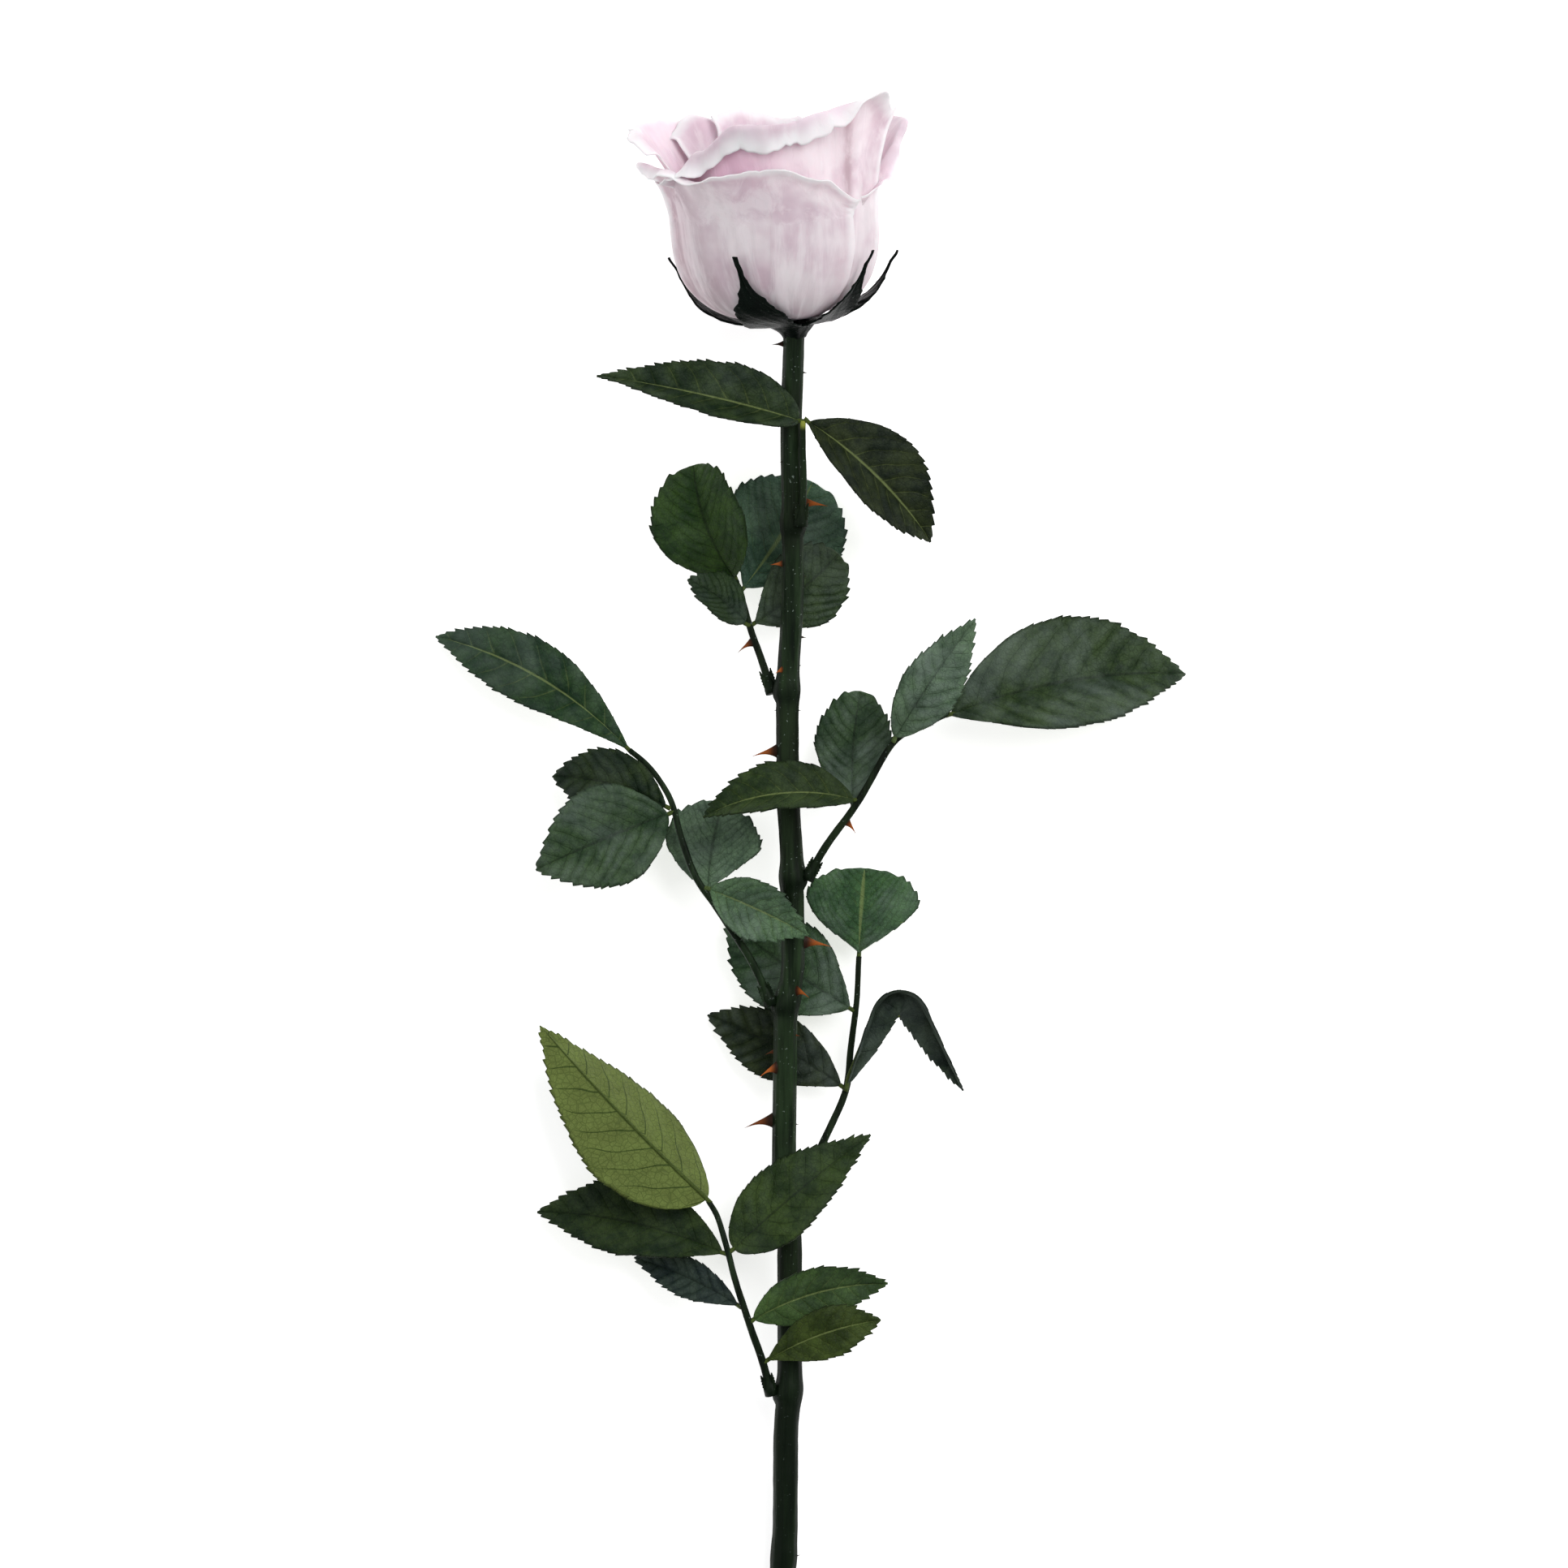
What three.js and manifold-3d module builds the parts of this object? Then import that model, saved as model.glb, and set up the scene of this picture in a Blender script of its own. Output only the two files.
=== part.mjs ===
// A cut rose lying on its side: thorny stem, six compound leaves, calyx and twenty petals.
// Millimetres and degrees. +Z is up off the surface that the rose lies on, +Y runs from the cut end
// of the stem to the flower, and +X is to the right of a person who looks down with the flower away.
import * as THREE from "three";
import { mergeVertices } from "three/addons/utils/BufferGeometryUtils.js";
import Module from "manifold-3d";

const wasm = await Module();
wasm.setup();

// ---- Driving dimensions ----
const clearance = 0.3; // gap between pieces that grow from each other
const stem = {
  length: 342, // from the flower to the cut
  topDiameter: 5.2,
  cutDiameter: 6.4,
  flowerEndHeight: 23.4, // height of the stem's axis under the flower
  cutEndHeight: 3.2, // height of the stem's axis at the cut
  nodeSwelling: 0.5, // extra radius where a leaf grows
  nodeSpread: 3, // how far along the stem a swelling reaches
  sides: 12,
};
const leafStalk = { diameter: 1.7, sides: 8, steps: 12 };
const leafBlade = { thickness: 0.6, stations: 8, columns: 4, leastHalfWidth: 0.45 };
const flower = {
  tilt: 10, // towards the viewer above
  lean: 4.5, // to the left
  setLeft: 1,
  radius: 26,
  coreRadius: 2.4,
  floor: 2.8, // height of the outermost petal's foot
  coneHeight: 15, // how much higher the innermost petal's foot is
  bellyHeight: 26, // from the outermost petal's foot to its widest
  coreBellyHeight: 9,
  bowlPower: 3, // 2 is an ellipse, more is squarer
  closing: 0.3, // how far the innermost petals close towards the axis, as a share of their radius
  petalThickness: 0.4,
  rows: 8,
};
const hip = { neckRadius: 3, rimRadius: 6, bottom: 0.9, rimHeight: 1.9 };
const sepal = { thickness: 0.5, stations: 7, columns: 2 };

const radians = THREE.MathUtils.degToRad;
const mix = THREE.MathUtils.lerp;
const smooth = (x) => THREE.MathUtils.smoothstep(x, 0, 1);

// ---- Materials ----
const finish = (color, roughness) => new THREE.MeshStandardMaterial({ color, roughness, metalness: 0 });
const petalFinish = finish(0xe6d3dc, 0.6);
const leafFinish = finish(0x3a4a33, 0.45);
const stemFinish = finish(0x2c352b, 0.55);
const calyxFinish = finish(0x1c2822, 0.5);

const rose = new THREE.Group();
const piece = (name, geometry, material, parent) => {
  const mesh = new THREE.Mesh(geometry, material);
  mesh.name = name;
  parent.add(mesh);
  return mesh;
};

// A thin solid that follows surface(u, v), with u from 0 to 1 along it and v from -1 to 1 across it.
function thinSolid(surface, along, across, thickness) {
  const geometry = new THREE.BoxGeometry(1, 2, 1, along, across, 1);
  const position = geometry.getAttribute("position");
  const nudge = 0.01;
  for (let i = 0; i < position.count; i++) {
    const u = position.getX(i) + 0.5;
    const v = position.getY(i);
    const ahead = surface(Math.min(u + nudge, 1), v).sub(surface(Math.max(u - nudge, 0), v));
    const aside = surface(u, Math.min(v + nudge, 1)).sub(surface(u, Math.max(v - nudge, -1)));
    const normal = ahead.cross(aside).normalize();
    const point = surface(u, v).addScaledVector(normal, position.getZ(i) * thickness);
    position.setXYZ(i, point.x, point.y, point.z);
  }
  return geometry;
}

function solidOf(geometry) {
  const bare = geometry.clone();
  bare.deleteAttribute("normal");
  bare.deleteAttribute("uv");
  const merged = mergeVertices(bare);
  return new wasm.Manifold(
    new wasm.Mesh({
      numProp: 3,
      vertProperties: new Float32Array(merged.getAttribute("position").array),
      triVerts: new Uint32Array(merged.index.array),
    }),
  );
}

function geometryOf(solid) {
  const mesh = solid.getMesh();
  const geometry = new THREE.BufferGeometry();
  geometry.setAttribute("position", new THREE.BufferAttribute(mesh.vertProperties, 3));
  geometry.setIndex(new THREE.BufferAttribute(mesh.triVerts, 1));
  return geometry;
}

// ---- Stem: [distance below the flower, sideways sway], with a small kink at each leaf ----
const sway = [
  [0, 1.6],
  [27, 0.9],
  [48, 1.3],
  [62, 1.4],
  [93, 0],
  [112, 0.1],
  [135, 1.2],
  [156, 1.4],
  [170, -0.5],
  [205, -0.8],
  [227, 0.6],
  [257, 0.6],
  [275, -0.4],
  [295, -0.5],
  [305, -1.2],
  [342, -2],
];

function swayAt(below) {
  const next = sway.findIndex(([distance]) => distance >= below);
  if (next < 0) return sway.at(-1)[1];
  if (next === 0) return sway[0][1];
  const [from, a] = sway[next - 1];
  const [to, b] = sway[next];
  return mix(a, b, smooth((below - from) / (to - from)));
}

function stemAxis(below) {
  const height = mix(stem.flowerEndHeight, stem.cutEndHeight, below / stem.length);
  return new THREE.Vector3(swayAt(below), -below, height);
}

// ---- Compound leaves ----
// below: where the leaf grows, from the flower down. around: the side of the stem, 0 on top and 90 right.
// stalk: where the stalk runs, from its foot: right, towards the flower, up.
// Each leaflet: t along the stalk; heading of its chord, 0 towards the flower and 90 to the right; rise of
// its chord off the surface; sweep and droop, how far the midrib turns sideways and down along its length;
// roll, which lifts its right edge; fold, which lifts both edges; wide, where along it is widest.
const compoundLeaves = [
  {
    name: "top",
    below: 48,
    around: 28,
    stalk: [
      [0, 0, 0],
      [0.6, 8, 0.6],
      [0.5, 17, 1.2],
      [0.5, 25, 2.2],
    ],
    leaflets: [
      {
        name: "left",
        t: 1,
        length: 51,
        halfWidth: 9.8,
        heading: -77.5,
        rise: 2,
        sweep: -8,
        droop: 16,
        roll: -32,
        fold: 34,
        wide: 0.34,
      },
      {
        name: "right",
        t: 0.99,
        length: 43,
        halfWidth: 12,
        heading: 134.5,
        rise: -9,
        sweep: 22,
        droop: 20,
        roll: 28,
        fold: 30,
        wide: 0.5,
      },
    ],
  },
  {
    name: "behind",
    below: 89,
    around: -118,
    stalk: [
      [0, 0, 0],
      [-2.4, 7, -1.5],
      [-5.2, 15, -3.2],
      [-7.2, 22, -4.6],
      [-8.8, 27, -5.4],
    ],
    leaflets: [
      {
        name: "upper_left",
        t: 1,
        length: 31,
        halfWidth: 14.2,
        heading: -20,
        rise: 4,
        sweep: 32,
        droop: 50,
        roll: 32,
        fold: 20,
        wide: 0.52,
        blunt: true,
      },
      {
        name: "upper_right",
        t: 0.93,
        length: 33,
        halfWidth: 15.5,
        heading: 33,
        rise: -20,
        sweep: -10,
        droop: 4,
        roll: 4,
        fold: 10,
        wide: 0.55,
        blunt: true,
      },
      {
        name: "lower_left",
        t: 0.62,
        length: 19,
        halfWidth: 7,
        heading: -53,
        rise: 14,
        sweep: -24,
        droop: 46,
        roll: -40,
        fold: 16,
        wide: 0.5,
      },
      {
        name: "lower_right",
        t: 0.6,
        length: 27,
        halfWidth: 10.4,
        heading: 50,
        rise: -7.5,
        sweep: -16,
        droop: 10,
        roll: -6,
        fold: 14,
        wide: 0.55,
        blunt: true,
      },
    ],
  },
  {
    name: "right",
    below: 135,
    around: 72,
    stalk: [
      [0, 0, 0],
      [3.6, 6.4, 1.4],
      [12.2, 18.4, 2.6],
      [21.6, 33.6, 1.6],
      [28, 37, -0.6],
      [34.4, 40, -2.6],
    ],
    leaflets: [
      {
        name: "tip",
        t: 1,
        length: 61,
        halfWidth: 16.8,
        heading: 80.5,
        rise: -12,
        sweep: 24,
        droop: 20,
        roll: 26,
        fold: 24,
        wide: 0.5,
      },
      {
        name: "upper",
        t: 0.73,
        length: 36,
        halfWidth: 8.4,
        heading: 34,
        rise: 12,
        sweep: 8,
        droop: 24,
        roll: -20,
        fold: 24,
        wide: 0.45,
      },
      {
        name: "inner",
        t: 0.38,
        length: 30,
        halfWidth: 9.6,
        heading: 4,
        rise: -20,
        sweep: 14,
        droop: -26,
        roll: 4,
        fold: 12,
        wide: 0.55,
        blunt: true,
      },
      {
        name: "crossing",
        t: 0.4,
        length: 39,
        halfWidth: 9,
        heading: -96.5,
        rise: 6,
        sweep: -42,
        droop: 34,
        roll: -42,
        fold: 26,
        wide: 0.46,
      },
    ],
  },
  {
    name: "left",
    below: 166,
    around: -68,
    stalk: [
      [0, 0, 0],
      [-4.2, 9.4, 1],
      [-13, 23, 1.6],
      [-18.4, 31, 1.6],
      [-22, 41, 0.2],
      [-24.8, 50.4, -2.2],
      [-30, 58, -4.2],
      [-34.6, 62, -5.6],
    ],
    leaflets: [
      {
        name: "tip",
        t: 1,
        length: 57,
        halfWidth: 8.6,
        heading: -60,
        rise: -9,
        sweep: -34,
        droop: 18,
        roll: -4,
        fold: 16,
        wide: 0.56,
      },
      {
        name: "under",
        t: 0.76,
        length: 31,
        halfWidth: 8.6,
        heading: -76,
        rise: -17,
        sweep: -30,
        droop: 30,
        roll: -6,
        fold: 10,
        wide: 0.5,
      },
      {
        name: "broad",
        t: 0.73,
        length: 36,
        halfWidth: 13.6,
        heading: -113,
        rise: 0,
        sweep: -6,
        droop: 36,
        roll: -14,
        fold: 16,
        wide: 0.45,
      },
      {
        name: "inner",
        t: 0.44,
        length: 23,
        halfWidth: 12,
        heading: 10,
        rise: -20,
        sweep: 16,
        droop: -20,
        roll: 6,
        fold: 10,
        wide: 0.55,
        blunt: true,
      },
      {
        name: "crossing",
        t: 0.43,
        length: 27,
        halfWidth: 8,
        heading: 115,
        rise: 10,
        sweep: 10,
        droop: 12,
        roll: -14,
        fold: 18,
        wide: 0.45,
      },
    ],
  },
  {
    name: "lower_right",
    below: 211,
    around: 96,
    stalk: [
      [0, 0, 0],
      [4, 9, -1.4],
      [10.4, 23.6, -3],
      [11.6, 34, -3.6],
      [13, 45, -4],
      [13.6, 56.4, -4.4],
    ],
    leaflets: [
      {
        name: "tip",
        t: 1,
        length: 22,
        halfWidth: 14,
        heading: 4,
        rise: -6,
        sweep: 4,
        droop: 56,
        roll: 4,
        fold: 8,
        wide: 0.6,
        blunt: true,
      },
      {
        name: "behind",
        t: 0.78,
        length: 38,
        halfWidth: 11.8,
        heading: -54,
        rise: -8,
        sweep: 10,
        droop: 12,
        roll: -4,
        fold: 8,
        wide: 0.5,
      },
      {
        name: "under",
        t: 0.45,
        length: 38,
        halfWidth: 8.4,
        heading: -62.5,
        rise: -11,
        sweep: -14,
        droop: 20,
        roll: 0,
        fold: 10,
        wide: 0.5,
      },
      {
        name: "hanging",
        t: 0.44,
        length: 61,
        halfWidth: 6.6,
        heading: 87.5,
        rise: -7,
        sweep: 133,
        droop: 40,
        roll: -46,
        fold: 40,
        wide: 0.5,
        kinked: true,
      },
    ],
  },
  {
    name: "bottom",
    below: 262,
    around: -72,
    stalk: [
      [0, 0, 0],
      [-2.4, 8.4, 2.2],
      [-5.4, 17, 4],
      [-9.2, 29, 5],
      [-10.8, 35.4, 5],
      [-13.4, 43.6, 4.2],
      [-15.4, 47, 3.4],
    ],
    leaflets: [
      {
        name: "tip",
        t: 1,
        length: 59.5,
        halfWidth: 15.5,
        heading: -44,
        rise: -3,
        sweep: 6,
        droop: 10,
        roll: -34,
        fold: -22,
        wide: 0.4,
      },
      {
        name: "behind",
        t: 0.74,
        length: 48,
        halfWidth: 11,
        heading: -78,
        rise: -12,
        sweep: -22,
        droop: -10,
        roll: -25,
        fold: 20,
        wide: 0.5,
      },
      {
        name: "upper_right",
        t: 0.74,
        length: 44,
        halfWidth: 10,
        heading: 50,
        rise: 2,
        sweep: 6,
        droop: 10,
        roll: 22,
        fold: 16,
        wide: 0.37,
      },
      {
        name: "under",
        t: 0.47,
        length: 29,
        halfWidth: 5,
        heading: -66,
        rise: -16,
        sweep: -16,
        droop: 6,
        roll: 0,
        fold: 10,
        wide: 0.5,
      },
      {
        name: "right",
        t: 0.37,
        length: 35,
        halfWidth: 7.6,
        heading: 75,
        rise: 3,
        sweep: 34,
        droop: 30,
        roll: -18,
        fold: 18,
        wide: 0.46,
      },
      {
        name: "lower_right",
        t: 0.16,
        length: 31,
        halfWidth: 6.5,
        heading: 70,
        rise: 10,
        sweep: 26,
        droop: 40,
        roll: -4,
        fold: 10,
        wide: 0.56,
      },
    ],
  },
];

// ---- Stem ----
const leafNodes = compoundLeaves.map((leaf) => leaf.below);

function stemRadius(below) {
  const taper = mix(stem.topDiameter, stem.cutDiameter, below / stem.length) / 2;
  const swell = (at) => Math.exp(-(((below - at) / stem.nodeSpread) ** 2));
  return taper + stem.nodeSwelling * leafNodes.reduce((sum, at) => sum + swell(at), 0);
}

// [distance below the flower, around the stem, length, droop towards the cut]
const thorns = [
  [4, -90, 3, 0.2],
  [43, 80, 6.4, 0.3],
  [58, -80, 3.2, 0.2],
  [84, -35, 3.4, 0.8],
  [104, -88, 6.4, 0.5],
  [151, 86, 7, 0.4],
  [163, 40, 5, 0.8],
  [178, -120, 3, 0.7],
  [182, -48, 6, 0.9],
  [195, -92, 7.4, 0.6],
  [204, 60, 3, 0.4],
  [36, 170, 5.5, 0.4],
  [72, 135, 5, 0.4],
  [120, 175, 5.5, 0.5],
  [144, -150, 5, 0.4],
  [190, 130, 5.5, 0.5],
  [228, 150, 4, 0.4],
];

const thornFoot = { length: 1.15, width: 0.42, sunk: 0.9, sides: 6 };

function thornSolid([below, around, length, droop]) {
  const geometry = new THREE.ConeGeometry(1, 1, thornFoot.sides, 3);
  geometry.translate(0, 0.5, 0);
  const position = geometry.getAttribute("position");
  const outward = new THREE.Vector3(Math.sin(radians(around)), 0, Math.cos(radians(around)));
  const sideways = new THREE.Vector3(-outward.z, 0, outward.x);
  const foot = stemAxis(below).addScaledVector(outward, stemRadius(below) - thornFoot.sunk);
  for (let i = 0; i < position.count; i++) {
    const share = position.getY(i);
    const reach = share * (length + thornFoot.sunk);
    const point = foot.clone().addScaledVector(outward, reach);
    point.addScaledVector(sideways, position.getX(i) * thornFoot.width * Math.sqrt(length));
    point.y += position.getZ(i) * thornFoot.length * Math.sqrt(length);
    point.y -= droop * length * 0.5 * share * share;
    position.setXYZ(i, point.x, point.y, point.z);
  }
  return solidOf(geometry);
}

function stemGeometry() {
  const ring = 3.4;
  const rings = Math.round(stem.length / ring / 2);
  const profile = [new THREE.Vector2(0, -stem.length)];
  for (let i = 0; i <= rings; i++) {
    const below = stem.length * (1 - i / rings);
    profile.push(new THREE.Vector2(stemRadius(below), -below));
  }
  profile.push(new THREE.Vector2(0, 0));
  const geometry = new THREE.LatheGeometry(profile, stem.sides);
  const position = geometry.getAttribute("position");
  const cutSlant = 0.7;
  for (let i = 0; i < position.count; i++) {
    const y = position.getY(i);
    const axis = stemAxis(-y);
    const slant = y <= -stem.length + 0.01 ? cutSlant * position.getZ(i) : 0;
    position.setXYZ(i, position.getX(i) + axis.x, y - slant, position.getZ(i) + axis.z);
  }
  return thorns.reduce((whole, thorn) => whole.add(thornSolid(thorn)), solidOf(geometry));
}

piece("stem", geometryOf(stemGeometry()), stemFinish, rose);

// ---- Leaflets ----
function directionOf(heading, rise) {
  const level = Math.cos(rise);
  return new THREE.Vector3(Math.sin(heading) * level, Math.cos(heading) * level, Math.sin(rise));
}

// The midrib turns evenly from its foot to its tip, so it is added up from short steps.
function midribOf(leaflet, foot) {
  const steps = 40;
  const frames = [];
  const at = foot.clone();
  for (let i = 0; i <= steps; i++) {
    const share = i / steps;
    const turned = (leaflet.kinked ? smooth((share - 0.3) / 0.3) : share) - 0.5;
    const heading = radians(leaflet.heading + leaflet.sweep * turned);
    const rise = radians(leaflet.rise - leaflet.droop * turned);
    const ahead = directionOf(heading, rise);
    const right = new THREE.Vector3(Math.cos(heading), -Math.sin(heading), 0);
    const up = right.clone().cross(ahead);
    frames.push({ at: at.clone(), ahead, right, up });
    at.addScaledVector(ahead, leaflet.length / steps);
  }
  return (share) => {
    const place = Math.min(Math.max(share, 0), 1) * steps;
    const low = Math.min(Math.floor(place), steps - 1);
    const blend = (key) => frames[low][key].clone().lerp(frames[low + 1][key], place - low);
    return { at: blend("at"), right: blend("right").normalize(), up: blend("up").normalize() };
  };
}

function leafOutline(leaflet, share) {
  const power = Math.log(0.5) / Math.log(leaflet.wide);
  const footPower = 0.8;
  const tipPower = leaflet.blunt ? 0.55 : 1;
  const arch = Math.sin(Math.PI * share ** power) || 0;
  return Math.max(arch, 0) ** (share < leaflet.wide ? footPower : tipPower);
}

function leafletGeometry(leaflet, foot) {
  const midrib = midribOf(leaflet, foot);
  const roll = radians(leaflet.roll);
  const fold = radians(leaflet.fold);
  const surface = (share, across) => {
    const { at, right, up } = midrib(share);
    const halfWidth = Math.max(leaflet.halfWidth * leafOutline(leaflet, share), leafBlade.leastHalfWidth);
    const side = right.clone().multiplyScalar(Math.cos(roll)).addScaledVector(up, Math.sin(roll));
    const out = up.clone().multiplyScalar(Math.cos(roll)).addScaledVector(right, -Math.sin(roll));
    at.addScaledVector(side, across * halfWidth * Math.cos(fold));
    return at.addScaledVector(out, Math.abs(across) * halfWidth * Math.sin(fold));
  };
  return thinSolid(surface, leafBlade.stations, leafBlade.columns, leafBlade.thickness);
}

function buildCompoundLeaf(leaf) {
  const group = new THREE.Group();
  group.position.copy(stemAxis(leaf.below));
  rose.add(group);
  const stalkRadius = leafStalk.diameter / 2;
  const around = radians(leaf.around);
  const fromAxis = stemRadius(leaf.below) + clearance + stalkRadius;
  const foot = new THREE.Vector3(Math.sin(around) * fromAxis, 0, Math.cos(around) * fromAxis);
  const route = leaf.stalk.map(([x, y, z]) => new THREE.Vector3(x, y, z).add(foot));
  const path = new THREE.CatmullRomCurve3(route);
  const section = new THREE.Shape();
  section.absarc(0, 0, stalkRadius, 0, 2 * Math.PI);
  const tube = new THREE.ExtrudeGeometry(section, {
    steps: leafStalk.steps,
    curveSegments: leafStalk.sides,
    extrudePath: path,
    bevelEnabled: false,
  });
  piece(`stalk_${leaf.name}`, tube, stemFinish, group);
  for (const leaflet of leaf.leaflets) {
    const start = radians(leaflet.heading - leaflet.sweep / 2);
    const rise = radians(leaflet.rise + leaflet.droop / 2);
    const ahead = directionOf(start, rise);
    const at = path.getPointAt(leaflet.t);
    const tangent = path.getTangentAt(leaflet.t);
    const away = ahead.clone().addScaledVector(tangent, -ahead.dot(tangent));
    if (leaflet.t === 1) at.addScaledVector(ahead, clearance + stalkRadius * away.length());
    else at.addScaledVector(away.normalize(), stalkRadius + clearance + leafBlade.leastHalfWidth);
    piece(`leaflet_${leaf.name}_${leaflet.name}`, leafletGeometry(leaflet, at), leafFinish, group);
  }
}

compoundLeaves.forEach(buildCompoundLeaf);

// ---- Flower: its own axis is +Y here, 0 degrees around faces the viewer and 90 is on the right ----
const head = new THREE.Group();
head.position.copy(stemAxis(0)).x -= flower.setLeft;
head.rotation.set(radians(flower.tilt), 0, radians(flower.lean));
rose.add(head);

const aroundAxis = (radius, height, angle) =>
  new THREE.Vector3(radius * Math.sin(radians(angle)), height, radius * Math.cos(radians(angle)));

// The petals lie in nested bowls. layer is 0 for the innermost bowl and 1 for the outermost.
function bowl(layer) {
  const radius = mix(flower.coreRadius, flower.radius, layer);
  const foot = flower.floor + flower.coneHeight * (1 - layer);
  const belly = mix(flower.coreBellyHeight, flower.bellyHeight, layer);
  const innerRadius = Math.min(1.3 + hip.rimRadius * layer, radius * 0.8);
  const start = Math.asin((innerRadius / radius) ** (flower.bowlPower / 2));
  return { radius, foot, belly, start };
}

// A value at across, from -1 to 1, on a smooth line through evenly spaced values.
function along(values, across) {
  const place = ((across + 1) / 2) * (values.length - 1);
  const low = Math.min(Math.floor(place), values.length - 2);
  return mix(values[low], values[low + 1], smooth(place - low));
}

// Above the bowl the petal is a wall. rim is how high the wall would reach if it stood upright, from left
// to right. flare is how far it leans out at its rim, and roll how much further its last part, band, turns
// outwards. fullWidthAt is the share of its length at which it is as wide as halfAngle says.
function petalSurface(petal) {
  const { radius, foot, belly, start } = bowl(petal.layer);
  const power = 2 / flower.bowlPower;
  const wallFoot = foot + belly;
  const closing = Math.max(1 - 2 * petal.layer, 0) * flower.closing;
  const wallSteps = 16;
  return (share, across) => {
    const narrow = mix(0.42, 1, smooth(share / (petal.fullWidthAt ?? 0.7)));
    const angle = petal.angle + across * petal.halfAngle * narrow;
    if (share < 0.5) {
      const turn = mix(start, Math.PI / 2, share / 0.5);
      const height = foot + belly * (1 - Math.max(Math.cos(turn), 0) ** power);
      return aroundAxis(radius * Math.sin(turn) ** power, height, angle);
    }
    const length = along(petal.rim, across) - wallFoot;
    const flare = radians(along(petal.flare, across));
    const roll = radians(along(petal.roll, across));
    const reach = (share - 0.5) / 0.5;
    const step = (length * reach) / wallSteps;
    let out = radius;
    let height = wallFoot;
    for (let i = 0; i < wallSteps; i++) {
      const done = (i + 0.5) * step;
      const lean = flare * (done / length) + roll * smooth((done - length + petal.band) / petal.band);
      out += step * Math.sin(lean);
      height += step * Math.cos(lean);
    }
    return aroundAxis(out - radius * closing * smooth(reach), height, angle);
  };
}

const outerPetals = [
  {
    name: "front",
    angle: -20,
    halfAngle: 62,
    rim: [47, 46, 43, 43, 44.5, 41, 34],
    flare: [50, 24, 18],
    roll: [90, 30, 10],
    band: 4,
  },
  {
    name: "tall",
    angle: 4,
    halfAngle: 72,
    fullWidthAt: 1,
    rim: [43, 50, 55, 57, 58.5, 60, 56],
    flare: [14, 6, 6, 24],
    roll: [30, 120, 130, 60, 6],
    band: 5,
  },
  {
    name: "right",
    angle: 107,
    halfAngle: 60,
    fullWidthAt: 0.45,
    rim: [31, 38, 49, 53, 51, 49, 46],
    flare: [0, 6, 40, 48, 30, 18, 12],
    roll: [4, 10, 60, 120, 60, 10],
    band: 5,
  },
  {
    name: "left",
    angle: -125,
    halfAngle: 44,
    rim: [44, 48, 50, 53, 56, 57, 50],
    flare: [10, 16, 32, 48, 60, 60, 44],
    roll: [10, 30, 30],
    band: 4,
  },
  {
    name: "back_left",
    angle: -163,
    halfAngle: 46,
    rim: [46, 48, 48, 49, 50, 53, 50],
    flare: [8, 8, 10, 20, 36],
    roll: [10, 20, 20],
    band: 4,
  },
  {
    name: "back_right",
    angle: 172,
    halfAngle: 50,
    rim: [46, 47, 48, 49, 51, 52, 51],
    flare: [10, 6, 6],
    roll: [10, 20, 10],
    band: 4,
  },
  {
    name: "right_inner",
    angle: 118,
    halfAngle: 50,
    rim: [46, 52, 53, 52, 50, 48, 46],
    flare: [16, 12, 2],
    roll: [10, 30, 6],
    band: 3,
  },
  {
    name: "left_inner",
    angle: -84,
    halfAngle: 48,
    rim: [44, 46, 47, 46, 45, 44, 42],
    flare: [6, 6, 2],
    roll: [20, 40, 10],
    band: 3,
  },
];
const innerPetals = {
  count: 12,
  turn: 137.5, // from one to the next
  firstAngle: 80,
  height: 43,
  widest: 96, // half angle of the innermost
  narrowest: 62, // half angle of the outermost
  columns: 6,
};
const outerColumns = 8;
const layers = innerPetals.count + outerPetals.length - 1;

outerPetals.forEach((petal, i) => {
  const surface = petalSurface({ ...petal, layer: (layers - i) / layers });
  const geometry = thinSolid(surface, flower.rows, outerColumns, flower.petalThickness);
  piece(`petal_${petal.name}`, geometry, petalFinish, head);
});

for (let i = 0; i < innerPetals.count; i++) {
  const share = i / (innerPetals.count - 1);
  const height = innerPetals.height + 1.5 * Math.sin(2.4 * i);
  const surface = petalSurface({
    layer: i / layers,
    angle: innerPetals.firstAngle + i * innerPetals.turn,
    halfAngle: mix(innerPetals.widest, innerPetals.narrowest, share),
    rim: [height - 5, height - 1, height, height - 1, height - 5],
    flare: [0, 0],
    roll: [10, 18, 10],
    band: 2,
  });
  const geometry = thinSolid(surface, flower.rows, innerPetals.columns, flower.petalThickness);
  piece(`petal_heart_${i + 1}`, geometry, petalFinish, head);
}

// ---- Hip: the green cup under the petals, with the cone that they grow from ----
const coneTip = flower.floor + flower.coneHeight - 1.5;
const hipProfile = [
  new THREE.Vector2(0, hip.bottom),
  new THREE.Vector2(hip.neckRadius, hip.bottom),
  new THREE.Vector2(hip.rimRadius, hip.rimHeight),
  new THREE.Vector2(hip.rimRadius - 0.6, hip.rimHeight + 0.5),
  new THREE.Vector2(1, coneTip - 0.6),
  new THREE.Vector2(0, coneTip),
];
piece("hip", new THREE.LatheGeometry(hipProfile, 12), calyxFinish, head);

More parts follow.
